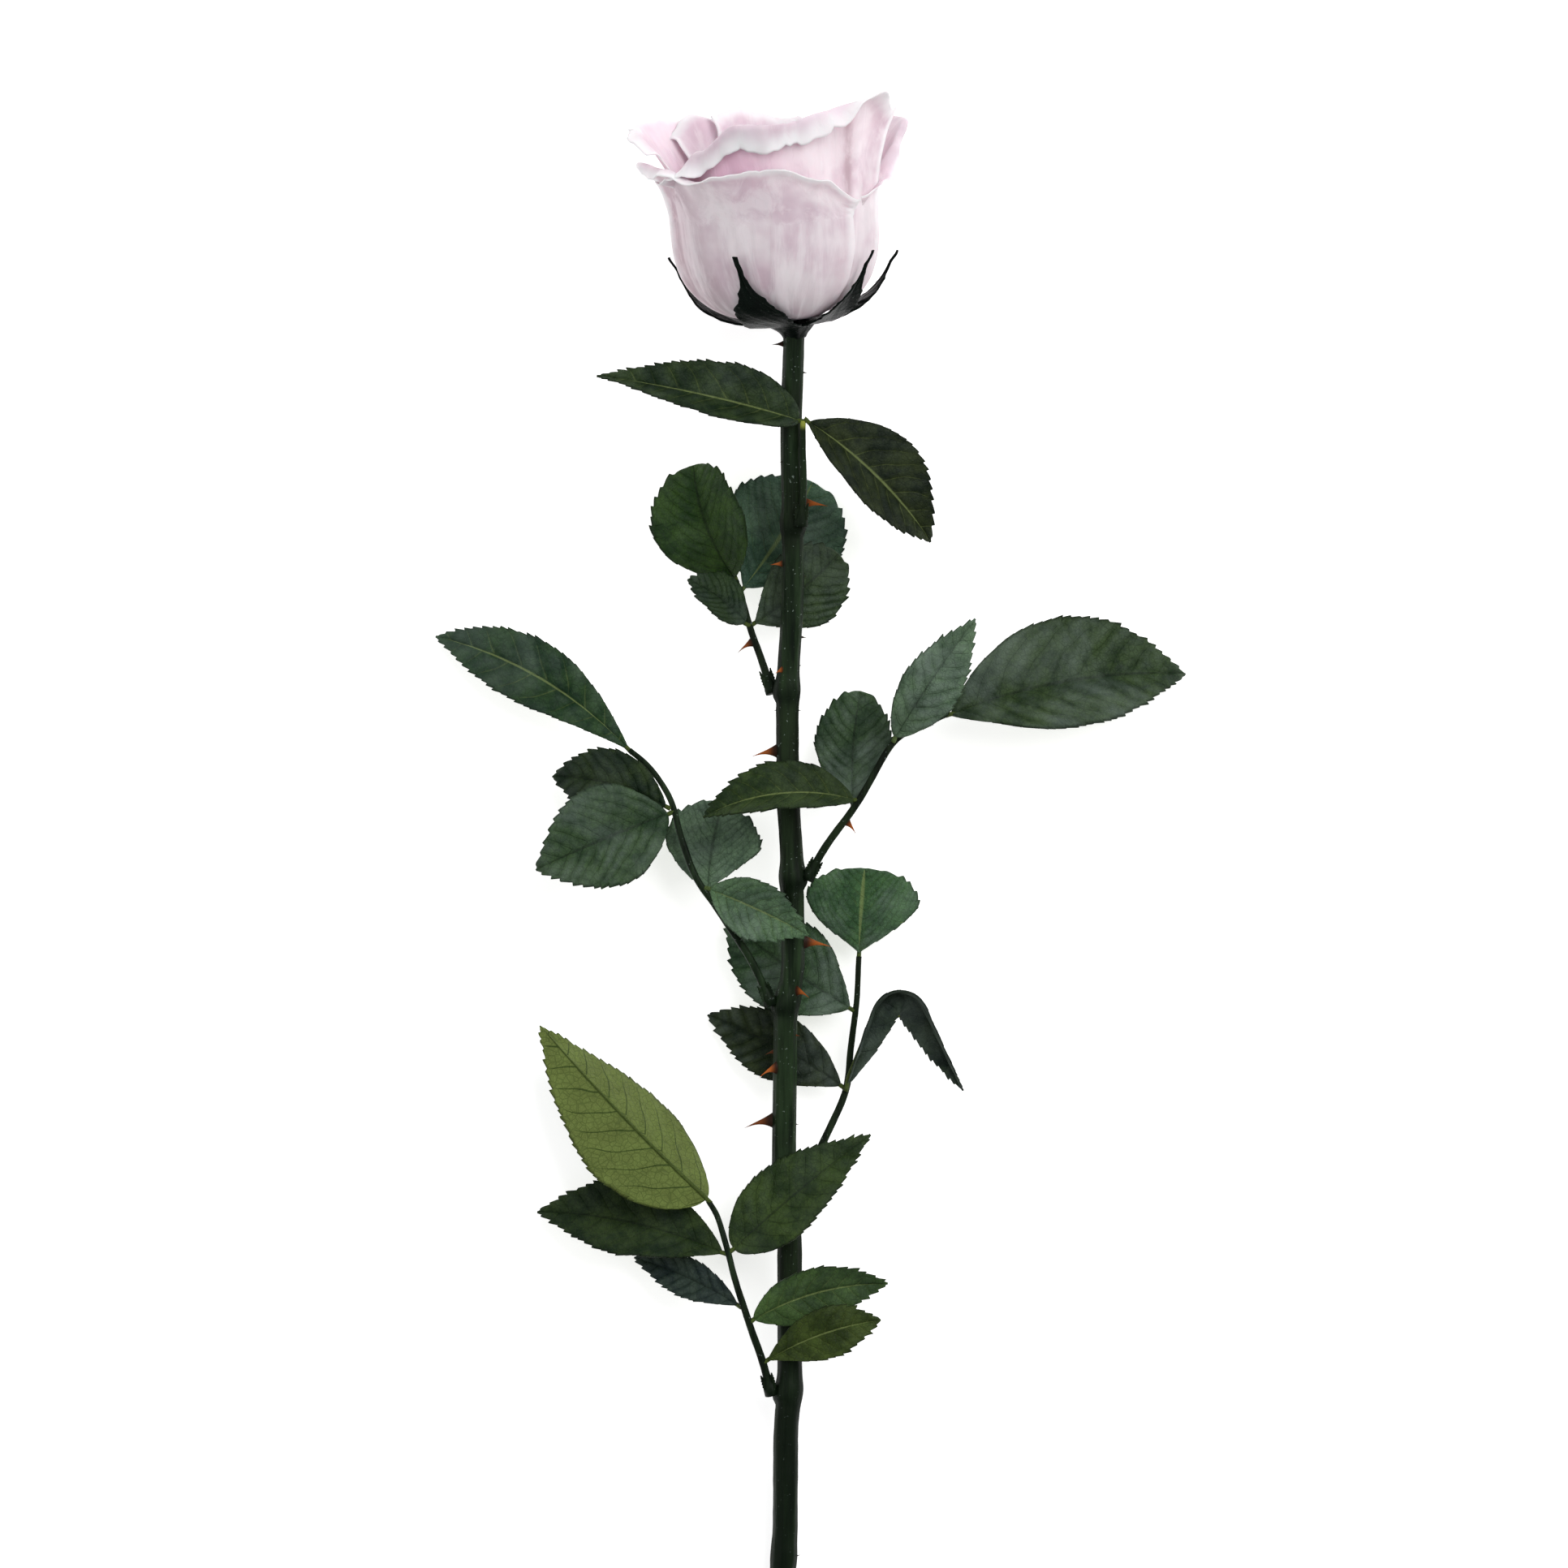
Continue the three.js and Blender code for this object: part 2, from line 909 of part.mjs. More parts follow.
// ---- Sepals: each hugs the outermost bowl from below, then stands off towards its tip ----
const sepals = [
  { name: "front_left", angle: -20, halfWidth: 6, height: 22.5, standOff: 1.4, hook: -5 },
  { name: "front_right", angle: 38, halfWidth: 3.8, height: 20.5, standOff: 1.2, hook: 12 },
  { name: "left", angle: -98, halfWidth: 4, height: 19.5, standOff: 1.6, hook: 0 },
  { name: "right", angle: 102, halfWidth: 3.6, height: 17, standOff: 3, hook: 0 },
  { name: "back", angle: -166, halfWidth: 4.4, height: 15, standOff: 0.3, hook: 6 },
];

function sepalSurface({ angle, halfWidth, height, standOff, hook }) {
  const { radius, foot, belly } = bowl(1);
  const power = 2 / flower.bowlPower;
  const away = flower.petalThickness / 2 + clearance + sepal.thickness / 2 + 0.2;
  const end = Math.acos((1 - Math.max(height - foot, 1) / belly) ** (1 / power));
  const start = Math.asin(((hip.rimRadius + 2 * clearance) / radius) ** (1 / power));
  return (share, across) => {
    const turn = mix(start, end, share);
    const bulge = radius * Math.sin(turn) ** power;
    const rise = foot + belly * (1 - Math.cos(turn) ** power);
    const tapered = mix(1, 0.1, smooth((share - 0.45) / 0.5));
    const outline = share < 0.45 ? mix(0.5, 1, smooth(share / 0.45)) : tapered;
    const off = away + standOff * share ** 3;
    const swing = angle + hook * share * share + (across * halfWidth * outline * 57.3) / bulge;
    return aroundAxis(bulge + off * Math.sin(turn), rise - off * Math.cos(turn), swing);
  };
}

for (const shape of sepals) {
  const geometry = thinSolid(sepalSurface(shape), sepal.stations, sepal.columns, sepal.thickness);
  piece(`sepal_${shape.name}`, geometry, calyxFinish, head);
}

// The origin is under the middle of the whole rose, on the surface that it lies on.
rose.updateMatrixWorld(true);
const extent = new THREE.Box3().setFromObject(rose, true);
const middle = extent.getCenter(new THREE.Vector3());
rose.position.set(-middle.x, -middle.y, -extent.min.z);

export default rose;
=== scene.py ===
import bpy
import bmesh
import numpy as np
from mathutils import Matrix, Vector


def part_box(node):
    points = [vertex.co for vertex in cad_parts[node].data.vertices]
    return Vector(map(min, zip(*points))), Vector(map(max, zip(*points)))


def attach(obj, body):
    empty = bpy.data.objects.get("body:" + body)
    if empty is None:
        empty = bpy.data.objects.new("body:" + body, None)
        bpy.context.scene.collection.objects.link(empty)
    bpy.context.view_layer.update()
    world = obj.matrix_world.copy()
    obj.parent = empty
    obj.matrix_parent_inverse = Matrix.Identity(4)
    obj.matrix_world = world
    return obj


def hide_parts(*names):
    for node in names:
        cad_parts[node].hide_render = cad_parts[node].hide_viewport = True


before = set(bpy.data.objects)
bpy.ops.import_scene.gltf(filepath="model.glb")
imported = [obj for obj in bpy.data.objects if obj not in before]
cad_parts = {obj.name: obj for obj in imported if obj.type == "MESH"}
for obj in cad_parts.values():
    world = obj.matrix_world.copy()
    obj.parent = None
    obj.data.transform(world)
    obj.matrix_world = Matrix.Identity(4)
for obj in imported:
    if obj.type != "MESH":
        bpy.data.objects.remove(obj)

# A cut rose on a pale table. Sizes in the dictionaries are millimetres and degrees.
mm = 0.001
scene = bpy.context.scene
scene.view_settings.view_transform = "Standard"
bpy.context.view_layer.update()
print("frame loaded:", len(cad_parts), "nodes")


def vec(x, y, z):
    return np.stack(np.broadcast_arrays(np.asarray(x, float), y, z), -1)


def smooth(x):
    x = np.clip(x, 0, 1)
    return x * x * (3 - 2 * x)


def hump(away, wide):
    # 1 in the middle, and next to nothing at twice the width
    return np.exp(-(away / wide) ** 2)


def mix(a, b, x):
    return a + (b - a) * x


def unit(v):
    return v / np.maximum(np.linalg.norm(v, axis=-1, keepdims=True), 1e-9)


def angleFrom(start, angle):
    return (angle - start + 180) % 360 - 180


def wobble(x, seed):
    # slow, smooth and never quite repeating, about -1 to 1
    return (np.sin(x + seed * 1.7) + 0.6 * np.sin(2.3 * x + seed * 4.1) + 0.4 * np.sin(5.1 * x + seed * 2.9)) / 2


def alongList(values, across):
    # evenly spaced values from across -1 to 1, eased from one to the next
    values = np.asarray(values, float)
    place = (across + 1) / 2 * (len(values) - 1)
    low = np.clip(np.floor(place).astype(int), 0, len(values) - 2)
    return mix(values[low], values[low + 1], smooth(place - low))


def alongLine(place, marks, line):
    # the points of a line, or whatever goes with them, at places between its marks
    return np.stack([np.interp(place, marks, line[:, k]) for k in range(3)], -1)


def deselect():
    bpy.ops.object.select_all(action="DESELECT")


def only(*pieces):
    deselect()
    for piece in pieces:
        piece.select_set(True)
    bpy.context.view_layer.objects.active = pieces[0]


def setMarks(piece, marks):
    for name, values in marks.items():
        mark = piece.data.attributes.get(name) or piece.data.attributes.new(name, "FLOAT", "POINT")
        values = np.broadcast_to(np.asarray(values, np.float32), len(piece.data.vertices))
        mark.data.foreach_set("value", values.copy())


def cornersOf(piece):
    flat = np.zeros(len(piece.data.vertices) * 3)
    piece.data.vertices.foreach_get("co", flat)
    return flat.reshape(-1, 3)


def moveCorners(piece, points):
    piece.data.vertices.foreach_set("co", (np.asarray(points) * mm).ravel())
    piece.data.update()


def sheetPiece(name, columns, rows, shape):
    # a grid, bent so that its x runs across the piece and its y along it
    deselect()
    bpy.ops.mesh.primitive_grid_add(x_subdivisions=columns, y_subdivisions=rows, size=2, calc_uvs=True)
    piece = bpy.context.object
    piece.name = piece.data.name = name
    flat = cornersOf(piece)
    points, marks = shape((flat[:, 1] + 1) / 2, flat[:, 0])
    moveCorners(piece, points)
    setMarks(piece, marks)
    bpy.ops.object.shade_smooth()
    return piece


def thicken(piece, thickness, innerMaterial=0):
    only(piece)
    wall = piece.modifiers.new("wall", "SOLIDIFY")
    wall.thickness = thickness * mm
    wall.offset = 0
    wall.material_offset = innerMaterial
    bpy.ops.object.modifier_apply(modifier=wall.name)


mostCuts = 24


def roundPiece(name, sides, rings, shape):
    # a cylinder cut into rings, then bent: shape(share along it, angle, 0 on its axis or 1 on its skin)
    deselect()
    bpy.ops.mesh.primitive_cylinder_add(vertices=sides, radius=1, depth=2, end_fill_type="TRIFAN")
    piece = bpy.context.object
    piece.name = piece.data.name = name
    left = rings
    while left > 1:
        cuts = next(k for k in range(min(left, mostCuts), 1, -1) if left % k == 0)
        bpy.ops.object.mode_set(mode="EDIT")
        bpy.ops.mesh.select_mode(type="EDGE")
        cage = bmesh.from_edit_mesh(piece.data)
        for edge in cage.edges:
            a, b = (corner.co for corner in edge.verts)
            edge.select_set(abs(a.z - b.z) > 1e-6)
        bmesh.update_edit_mesh(piece.data)
        bpy.ops.mesh.subdivide(number_cuts=cuts - 1)
        bpy.ops.object.mode_set(mode="OBJECT")
        left //= cuts
    flat = cornersOf(piece)
    skin = np.minimum(np.hypot(flat[:, 0], flat[:, 1]), 1)
    points, marks = shape((flat[:, 2] + 1) / 2, np.arctan2(flat[:, 1], flat[:, 0]), skin)
    moveCorners(piece, points)
    setMarks(piece, marks)
    only(piece)
    bpy.ops.object.shade_smooth()
    return piece


def joinTo(piece, extras):
    only(piece, *extras)
    bpy.ops.object.join()
    return piece


def addMaterials(piece, *materials):
    for material in materials:
        piece.data.materials.append(material)


def finishPiece(piece, node, slotName, *materials):
    addMaterials(piece, *materials)
    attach(piece, "root")
    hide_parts(node)
    return piece


# where the plant stands in the frame: the flower's end of the stem is known in both
stemSizes = {
    "length": 342, "topDiameter": 5.2, "cutDiameter": 6.4, "flowerEndHeight": 23.4, "cutEndHeight": 3.2,
    "swelling": 0.5, "swellingSpread": 3, "sides": 36, "rings": 504,
    "sway": [(0, 1.6), (27, 0.9), (48, 1.3), (62, 1.4), (93, 0), (112, 0.1), (135, 1.2), (156, 1.4), (170, -0.5),
             (205, -0.8), (227, 0.6), (257, 0.6), (275, -0.4), (295, -0.5), (305, -1.2), (342, -2)],
}


def swayAt(below):
    at, sway = np.array(stemSizes["sway"], float).T
    place = np.clip(np.searchsorted(at, below) - 1, 0, len(at) - 2)
    return mix(sway[place], sway[place + 1], smooth((below - at[place]) / (at[place + 1] - at[place])))


def stemAxis(below):
    height = mix(stemSizes["flowerEndHeight"], stemSizes["cutEndHeight"], below / stemSizes["length"])
    return vec(swayAt(below), -np.asarray(below, float), height)


stemCorners = cornersOf(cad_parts["stem"]) / mm
topRing = stemCorners[stemCorners[:, 1] > stemCorners[:, 1].max() - 0.05]
origin = (topRing.min(0) + topRing.max(0)) / 2 - stemAxis(0.0)


def boxMiddle(node):
    low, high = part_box(node)
    return (np.array(low) + np.array(high)) / 2 / mm


# camera straight above, table and studio light
white = (1, 1, 1, 1)
view = {"middle": (-0.8, -112.2, 12), "distance": 4000, "width": 386.4, "sensor": 36, "farthest": 20000}
table = {
    "size": 6000, "below": 0.4,
    "look": {"Base Color": (0.92, 0.92, 0.925, 1), "Roughness": 0.9, "Specular IOR Level": 0.1,
             "Emission Color": white, "Emission Strength": 0.62},
}
light = {
    "room": 0.34,
    "panels": {  # place and size in metres, power in watts
        "key": ((1.0, 0.9, 1.7), 1.8, 33),
        "fill": ((-1.5, 0.2, 1.4), 1.8, 9),
    },
}


def makeStage():
    target = origin + np.array(view["middle"])
    lens = bpy.data.cameras.new("camera")
    lens.sensor_width = view["sensor"]
    lens.lens = view["sensor"] * view["distance"] / view["width"]
    lens.clip_end = view["farthest"] * mm
    camera = bpy.data.objects.new("camera", lens)
    camera.location = (target + np.array([0, 0, view["distance"]])) * mm
    scene.collection.objects.link(camera)
    scene.camera = camera

    deselect()
    place = np.array([target[0], target[1], -table["below"]]) * mm
    bpy.ops.mesh.primitive_plane_add(size=table["size"] * mm, location=place)
    floor = bpy.context.object
    floor.name = "floor"
    paper = bpy.data.materials.new("paleTable")
    paper.use_nodes = True
    for name, value in table["look"].items():
        paper.node_tree.nodes["Principled BSDF"].inputs[name].default_value = value
    floor.data.materials.append(paper)

    world = bpy.data.worlds.new("room")
    world.use_nodes = True
    air = world.node_tree.nodes["Background"].inputs
    air["Color"].default_value = white
    air["Strength"].default_value = light["room"]
    scene.world = world
    for name, (place, size, power) in light["panels"].items():
        panel = bpy.data.lights.new(name, "AREA")
        panel.shape = "DISK"
        panel.size = size
        panel.energy = power
        lamp = bpy.data.objects.new(name, panel)
        lamp.location = np.array(place) + target * mm
        lamp.rotation_euler = (-lamp.location + Vector(target * mm)).to_track_quat("-Z", "Y").to_euler()
        scene.collection.objects.link(lamp)


makeStage()
print("camera, table and lights placed")

finishes = {
    # the pale leaf finish colours both the leaves' bloom and a painted sheen, a painted highlight
    "leafPale": "#86945a", "leafDark": "#0a140a", "leafBloomAndSheen": "#84938a",
    "underVein": "#2c3c16", "underGlow": "#97a558",
    "petal": "#efdfe5", "petalPale": "#f7e9ee", "petalShade": "#d5bcc8", "petalHeart": "#ecd8e3",
    # the last two petal finishes colour painted shade: pink shade in a hollow and grey shade low on the petals
    "petalRim": "#fbf6f9", "petalPinkShade": "#e2bfd2", "petalPaintedShade": "#b09ca3",
    "bark": "#09140a", "barkPale": "#34492d", "barkBrown": "#13110b", "stub": "#8d9440",
    "thornOrange": "#c66a2e", "thornDark": "#2a1a12", "calyx": "#040a07", "calyxPale": "#132019",
}


def colour(text):
    # a screen colour such as #31422f, as the shader wants it
    parts = [int(text[k:k + 2], 16) / 255 for k in (1, 3, 5)]
    return tuple(c / 12.92 if c <= 0.04045 else ((c + 0.055) / 1.055) ** 2.4 for c in parts) + (1.0,)


def paint(name):
    return colour(finishes[name])


class Board:
    # one node tree, with short ways to add to it
    def __init__(self, tree):
        self.tree = tree
        self.column = 0

    def add(self, kind, **settings):
        node = self.tree.nodes.new(kind)
        node.location = (self.column * 190, -(self.column % 3) * 160)
        self.column += 1
        for name, value in settings.items():
            setattr(node, name, value)
        return node

    def plug(self, value, socket):
        if isinstance(value, bpy.types.NodeSocket):
            self.tree.links.new(value, socket)
        else:
            socket.default_value = value

    def two(self, kind, a, b, **settings):
        node = self.add(kind, **settings)
        self.plug(a, node.inputs[0])
        self.plug(b, node.inputs[1])
        return node.outputs[0]

    def math(self, operation, a, b=0.0, clamp=False):
        return self.two("ShaderNodeMath", a, b, operation=operation, use_clamp=clamp)

    def times(self, a, b):
        return self.math("MULTIPLY", a, b)

    def plus(self, a, b):
        return self.math("ADD", a, b)

    def minus(self, a, b):
        return self.math("SUBTRACT", a, b)

    def larger(self, a, b):
        return self.math("MAXIMUM", a, b)

    def ramp(self, value, low, high, to=(0.0, 1.0)):
        node = self.add("ShaderNodeMapRange", interpolation_type="SMOOTHSTEP")
        self.plug(value, node.inputs["Value"])
        for name, number in zip(("From Min", "From Max", "To Min", "To Max"), (low, high, *to)):
            node.inputs[name].default_value = number
        return node.outputs[0]

    def blend(self, factor, a, b):
        node = self.add("ShaderNodeMix", data_type="RGBA")
        for socket, value in ((0, factor), (6, a), (7, b)):
            self.plug(value, node.inputs[socket])
        return node.outputs[2]

    def coats(self, base, *coats):
        # each coat has a mask, how strongly it covers, and a finish's name or a colour
        for mask, strength, cover in coats:
            factor = mask if strength == 1 else self.times(mask, strength)
            base = self.blend(factor, base, paint(cover) if isinstance(cover, str) else cover)
        return base

    def place(self, output="Object"):
        return self.add("ShaderNodeTexCoord").outputs[output]

    def stretched(self, vector, x, y):
        mapping = self.add("ShaderNodeMapping")
        mapping.inputs["Scale"].default_value = (x, y, 1)
        self.plug(vector, mapping.inputs["Vector"])
        return mapping.outputs[0]

    def noise(self, vector, scale, detail=3.0, rough=0.55, twist=0.0):
        node = self.add("ShaderNodeTexNoise")
        self.plug(vector, node.inputs["Vector"])
        for name, number in (("Scale", scale), ("Detail", detail), ("Roughness", rough), ("Distortion", twist)):
            node.inputs[name].default_value = number
        return node.outputs[0]

    def cells(self, vector, scale):
        node = self.add("ShaderNodeTexVoronoi", feature="DISTANCE_TO_EDGE")
        self.plug(vector, node.inputs["Vector"])
        node.inputs["Scale"].default_value = scale
        return node.outputs[0]

    def mark(self, name, output="Fac"):
        return self.add("ShaderNodeAttribute", attribute_name=name).outputs[output]

    def bump(self, height, strength, distance):
        node = self.add("ShaderNodeBump")
        self.plug(height, node.inputs["Height"])
        node.inputs["Strength"].default_value = strength
        node.inputs["Distance"].default_value = distance * mm
        return node.outputs[0]


def newGroup(name, inputs, outputs):
    tree = bpy.data.node_groups.new(name, "ShaderNodeTree")
    for socket, value in inputs.items():
        made = tree.interface.new_socket(name=socket, in_out="INPUT", socket_type="NodeSocketFloat")
        made.default_value = value
    for socket in outputs:
        tree.interface.new_socket(name=socket, in_out="OUTPUT", socket_type="NodeSocketFloat")
    board = Board(tree)
    return board, board.add("NodeGroupInput").outputs


def closeGroup(board, *values):
    out = board.add("NodeGroupOutput")
    for k, value in enumerate(values):
        board.plug(value, out.inputs[k])
    return board.tree


def useGroup(board, tree, **inputs):
    node = board.add("ShaderNodeGroup", node_tree=tree)
    for name, value in inputs.items():
        board.plug(value, node.inputs[name])
    return node.outputs


def newMaterial(name, constants):
    material = bpy.data.materials.new(name)
    material.use_nodes = True
    shader = material.node_tree.nodes["Principled BSDF"].inputs
    for key, value in constants.items():
        shader[key].default_value = value
    return material, Board(material.node_tree), shader


# effects that several finishes share; the scales of their patterns are per metre
def makeLeafVeins():
    # side veins from the phase mark, the fine net between them, and the pillows that they leave, a mask for a painted
    # highlight
    b, given = newGroup("leafVeins", {"Width": 0.16}, ("Veins", "Rib", "Net", "Relief", "Pillow"))
    across = b.math("ABSOLUTE", b.mark("across"))
    near = b.math("ABSOLUTE", b.minus(b.math("FRACT", b.mark("veinPhase")), 0.5))
    start = b.minus(0.5, b.times(given["Width"], b.minus(1.0, b.times(across, 0.6))))
    veins = b.math("DIVIDE", b.minus(near, start), b.minus(0.5, start), clamp=True)
    veins = b.times(b.math("POWER", veins, 1.6), b.ramp(across, 0.97, 0.7))
    rib = b.ramp(across, 0.055, 0.015)
    where = b.place()
    net = b.larger(b.ramp(b.cells(where, 620), 0.1, 0.0), b.times(b.ramp(b.cells(where, 1500), 0.12, 0.0), 0.55))
    relief = b.minus(b.noise(where, 900), b.plus(b.times(net, 0.35), b.times(veins, 0.6)))
    pillow = b.times(b.ramp(near, 0.42, 0.08), b.ramp(across, 0.02, 0.25))
    return closeGroup(b, veins, rib, net, relief, pillow)


def makePetalStreaks():
    # long fine streaks that run from the foot of a petal to its rim
    b, given = newGroup("petalStreaks", {"Seed": 0.0}, ("Streaks", "Lines", "Rim"))
    where = b.place("UV")
    shift = b.add("ShaderNodeCombineXYZ")
    b.plug(given["Seed"], shift.inputs[2])
    moved = b.two("ShaderNodeVectorMath", where, shift.outputs[0], operation="ADD")
    streaks = b.ramp(b.noise(b.stretched(moved, 9, 3.4), 1, 6, 0.62, 0.5), 0.42, 0.62)
    lines = b.ramp(b.noise(b.stretched(moved, 44, 5), 1, 3, 0.55, 1.2), 0.58, 0.76)
    split = b.add("ShaderNodeSeparateXYZ")
    b.plug(where, split.inputs[0])
    across, along = split.outputs[0], split.outputs[1]
    side = b.ramp(b.math("ABSOLUTE", b.minus(across, 0.5)), 0.46, 0.495)
    rim = b.larger(b.ramp(along, 0.9, 0.985), b.times(side, b.ramp(along, 0.15, 0.5)))
    return closeGroup(b, streaks, lines, rim)


def makeGrain():
    # fibres along the stem and the stalks, with small pale specks
    b, given = newGroup("barkGrain", {"Length": 14.0, "Fineness": 420.0}, ("Fibres", "Patches", "Specks"))
    where = b.place()
    scale = b.add("ShaderNodeCombineXYZ")
    for k, size in enumerate(("Fineness", "Length", "Fineness")):
        b.plug(given[size], scale.inputs[k])
    stretch = b.two("ShaderNodeVectorMath", where, scale.outputs[0], operation="MULTIPLY")
    fibres = b.ramp(b.noise(stretch, 1, 5, 0.65, 0.3), 0.34, 0.7)
    patches = b.ramp(b.noise(where, 38), 0.4, 0.66)
    specks = b.ramp(b.noise(where, 1300, 1), 0.7, 0.76)
    return closeGroup(b, fibres, patches, specks)


leafVeins, petalStreaks, barkGrain = makeLeafVeins(), makePetalStreaks(), makeGrain()


def leafMaterial(name, underside):
    material, b, shader = newMaterial(name, {"Specular IOR Level": 0.06 if underside else 0.1})
    veins = useGroup(b, leafVeins, Width=0.065 if underside else 0.085)
    where, tone = b.place(), b.mark("tone", "Color")
    clouds = b.noise(where, 150, 6, 0.7)
    darker, paler = b.blend(0.5, tone, paint("leafDark")), b.blend(0.1, tone, paint("leafPale"))
    base = b.blend(b.ramp(clouds, 0.36, 0.66), darker, paler)
    base = b.coats(base, (b.ramp(b.noise(where, 34, 2), 0.48, 0.7), 0.3, "leafDark"))
    if underside:
        base = b.coats(
            base,
            (b.minus(1.0, veins["Veins"]), 0.34, "underGlow"),
            (veins["Net"], 0.42, "underVein"),
            (b.larger(veins["Veins"], veins["Rib"]), 0.6, "underVein"),
        )
    else:
        bloom = b.mark("bloom")
        ribColour = b.blend(b.mark("paleRib"), paint("leafDark"), paint("leafPale"))
        faded = b.times(veins["Veins"], b.ramp(clouds, 0.3, 0.7, (0.1, 0.5)))
        # painted highlight: a pale sheen over the middle of each quilted pillow between the side veins, scaled per
        # leaf
        sheen = b.times(veins["Pillow"], b.ramp(b.noise(where, 120, 4), 0.35, 0.7, (0.02, 0.24)))
        dust = b.times(b.ramp(b.noise(where, 52, 7, 0.68, 0.4), 0.42, 0.7), b.plus(bloom, 0.06))
        base = b.coats(
            base,
            (sheen, b.plus(bloom, 0.12), "leafBloomAndSheen"),
            (veins["Net"], 0.3, "leafDark"),
            (b.larger(faded, b.times(veins["Rib"], 0.8)), 0.6, ribColour),
            (dust, 0.42, "leafBloomAndSheen"),
        )
    edge = b.ramp(b.math("ABSOLUTE", b.mark("across")), 0.93, 1.0)
    b.plug(b.coats(base, (edge, 0.5, "leafDark")), shader["Base Color"])
    b.plug(b.plus(b.times(clouds, 0.35), 0.3), shader["Roughness"])
    b.plug(b.bump(veins["Relief"], 0.8, 0.26), shader["Normal"])
    return material


def petalMaterial(name, tone, pale):
    material, b, shader = newMaterial(name, {
        "Roughness": 0.62, "Specular IOR Level": 0.25, "Sheen Weight": 0.08, "Sheen Roughness": 0.4,
        "Subsurface Weight": 0.35, "Subsurface Radius": (1.0, 0.62, 0.7), "Subsurface Scale": 1.6 * mm,
    })
    streaks = useGroup(b, petalStreaks, Seed=b.mark("seed"))
    where = b.place()
    base = b.blend(b.ramp(b.noise(where, 62), 0.36, 0.64), paint(tone), paint("petalShade"))
    base = b.coats(
        base,
        # painted shade, grey: low on the petal, towards its left edge and in a painted shadow band
        (b.mark("paintedShade"), 0.85, "petalPaintedShade"),
        (streaks["Streaks"], 0.55, pale),
        (streaks["Lines"], 0.18, "petalShade"),
        # painted shade, pink, in the hollow of a petal's wall
        (b.mark("pinkShade"), 1, "petalPinkShade"),
        (streaks["Rim"], 0.85, "petalRim"),
    )
    b.plug(base, shader["Base Color"])
    fine = b.plus(b.times(streaks["Lines"], -0.5), b.noise(where, 420))
    b.plug(b.bump(b.plus(b.times(streaks["Streaks"], 0.8), fine), 0.35, 0.18), shader["Normal"])
    return material


def barkMaterial():
    material, b, shader = newMaterial("bark", {"Specular IOR Level": 0.07})
    grain = useGroup(b, barkGrain)
    base = b.coats(
        paint("bark"),
        (grain["Fibres"], 0.55, "barkPale"),
        (grain["Patches"], 0.35, "barkBrown"),
        (grain["Specks"], 0.5, "leafBloomAndSheen"),
        # the dim mark darkens the bark: painted shade where parts meet, and a stem that is darker towards the cut end
        (b.mark("dim"), 1, "leafDark"),
        (b.ramp(b.mark("thorn"), 0.05, 0.35), 1, "thornDark"),
        (b.mark("blush"), 1, "thornOrange"),
        (b.mark("stub"), 1, "stub"),
    )
    b.plug(base, shader["Base Color"])
    b.plug(b.plus(b.times(grain["Patches"], 0.2), 0.38), shader["Roughness"])
    b.plug(b.bump(grain["Fibres"], 0.6, 0.22), shader["Normal"])
    return material


def calyxMaterial():
    material, b, shader = newMaterial("calyxSkin", {"Specular IOR Level": 0.05})
    grain = useGroup(b, barkGrain, Length=160.0, Fineness=420.0)
    base = b.coats(paint("calyx"), (grain["Fibres"], 0.3, "calyxPale"), (grain["Specks"], 0.25, "leafBloomAndSheen"))
    b.plug(base, shader["Base Color"])
    b.plug(b.plus(b.times(grain["Patches"], 0.25), 0.35), shader["Roughness"])
    b.plug(b.bump(grain["Fibres"], 0.6, 0.3), shader["Normal"])
    return material


leafUpper, leafUnder = leafMaterial("leafUpper", False), leafMaterial("leafUnder", True)
petalOutside = petalMaterial("petalOutside", "petal", "petalPale")
petalInside = petalMaterial("petalInside", "petalHeart", "petal")
bark, calyxSkin = barkMaterial(), calyxMaterial()
print("finishes mixed:", len(bpy.data.materials), "materials")
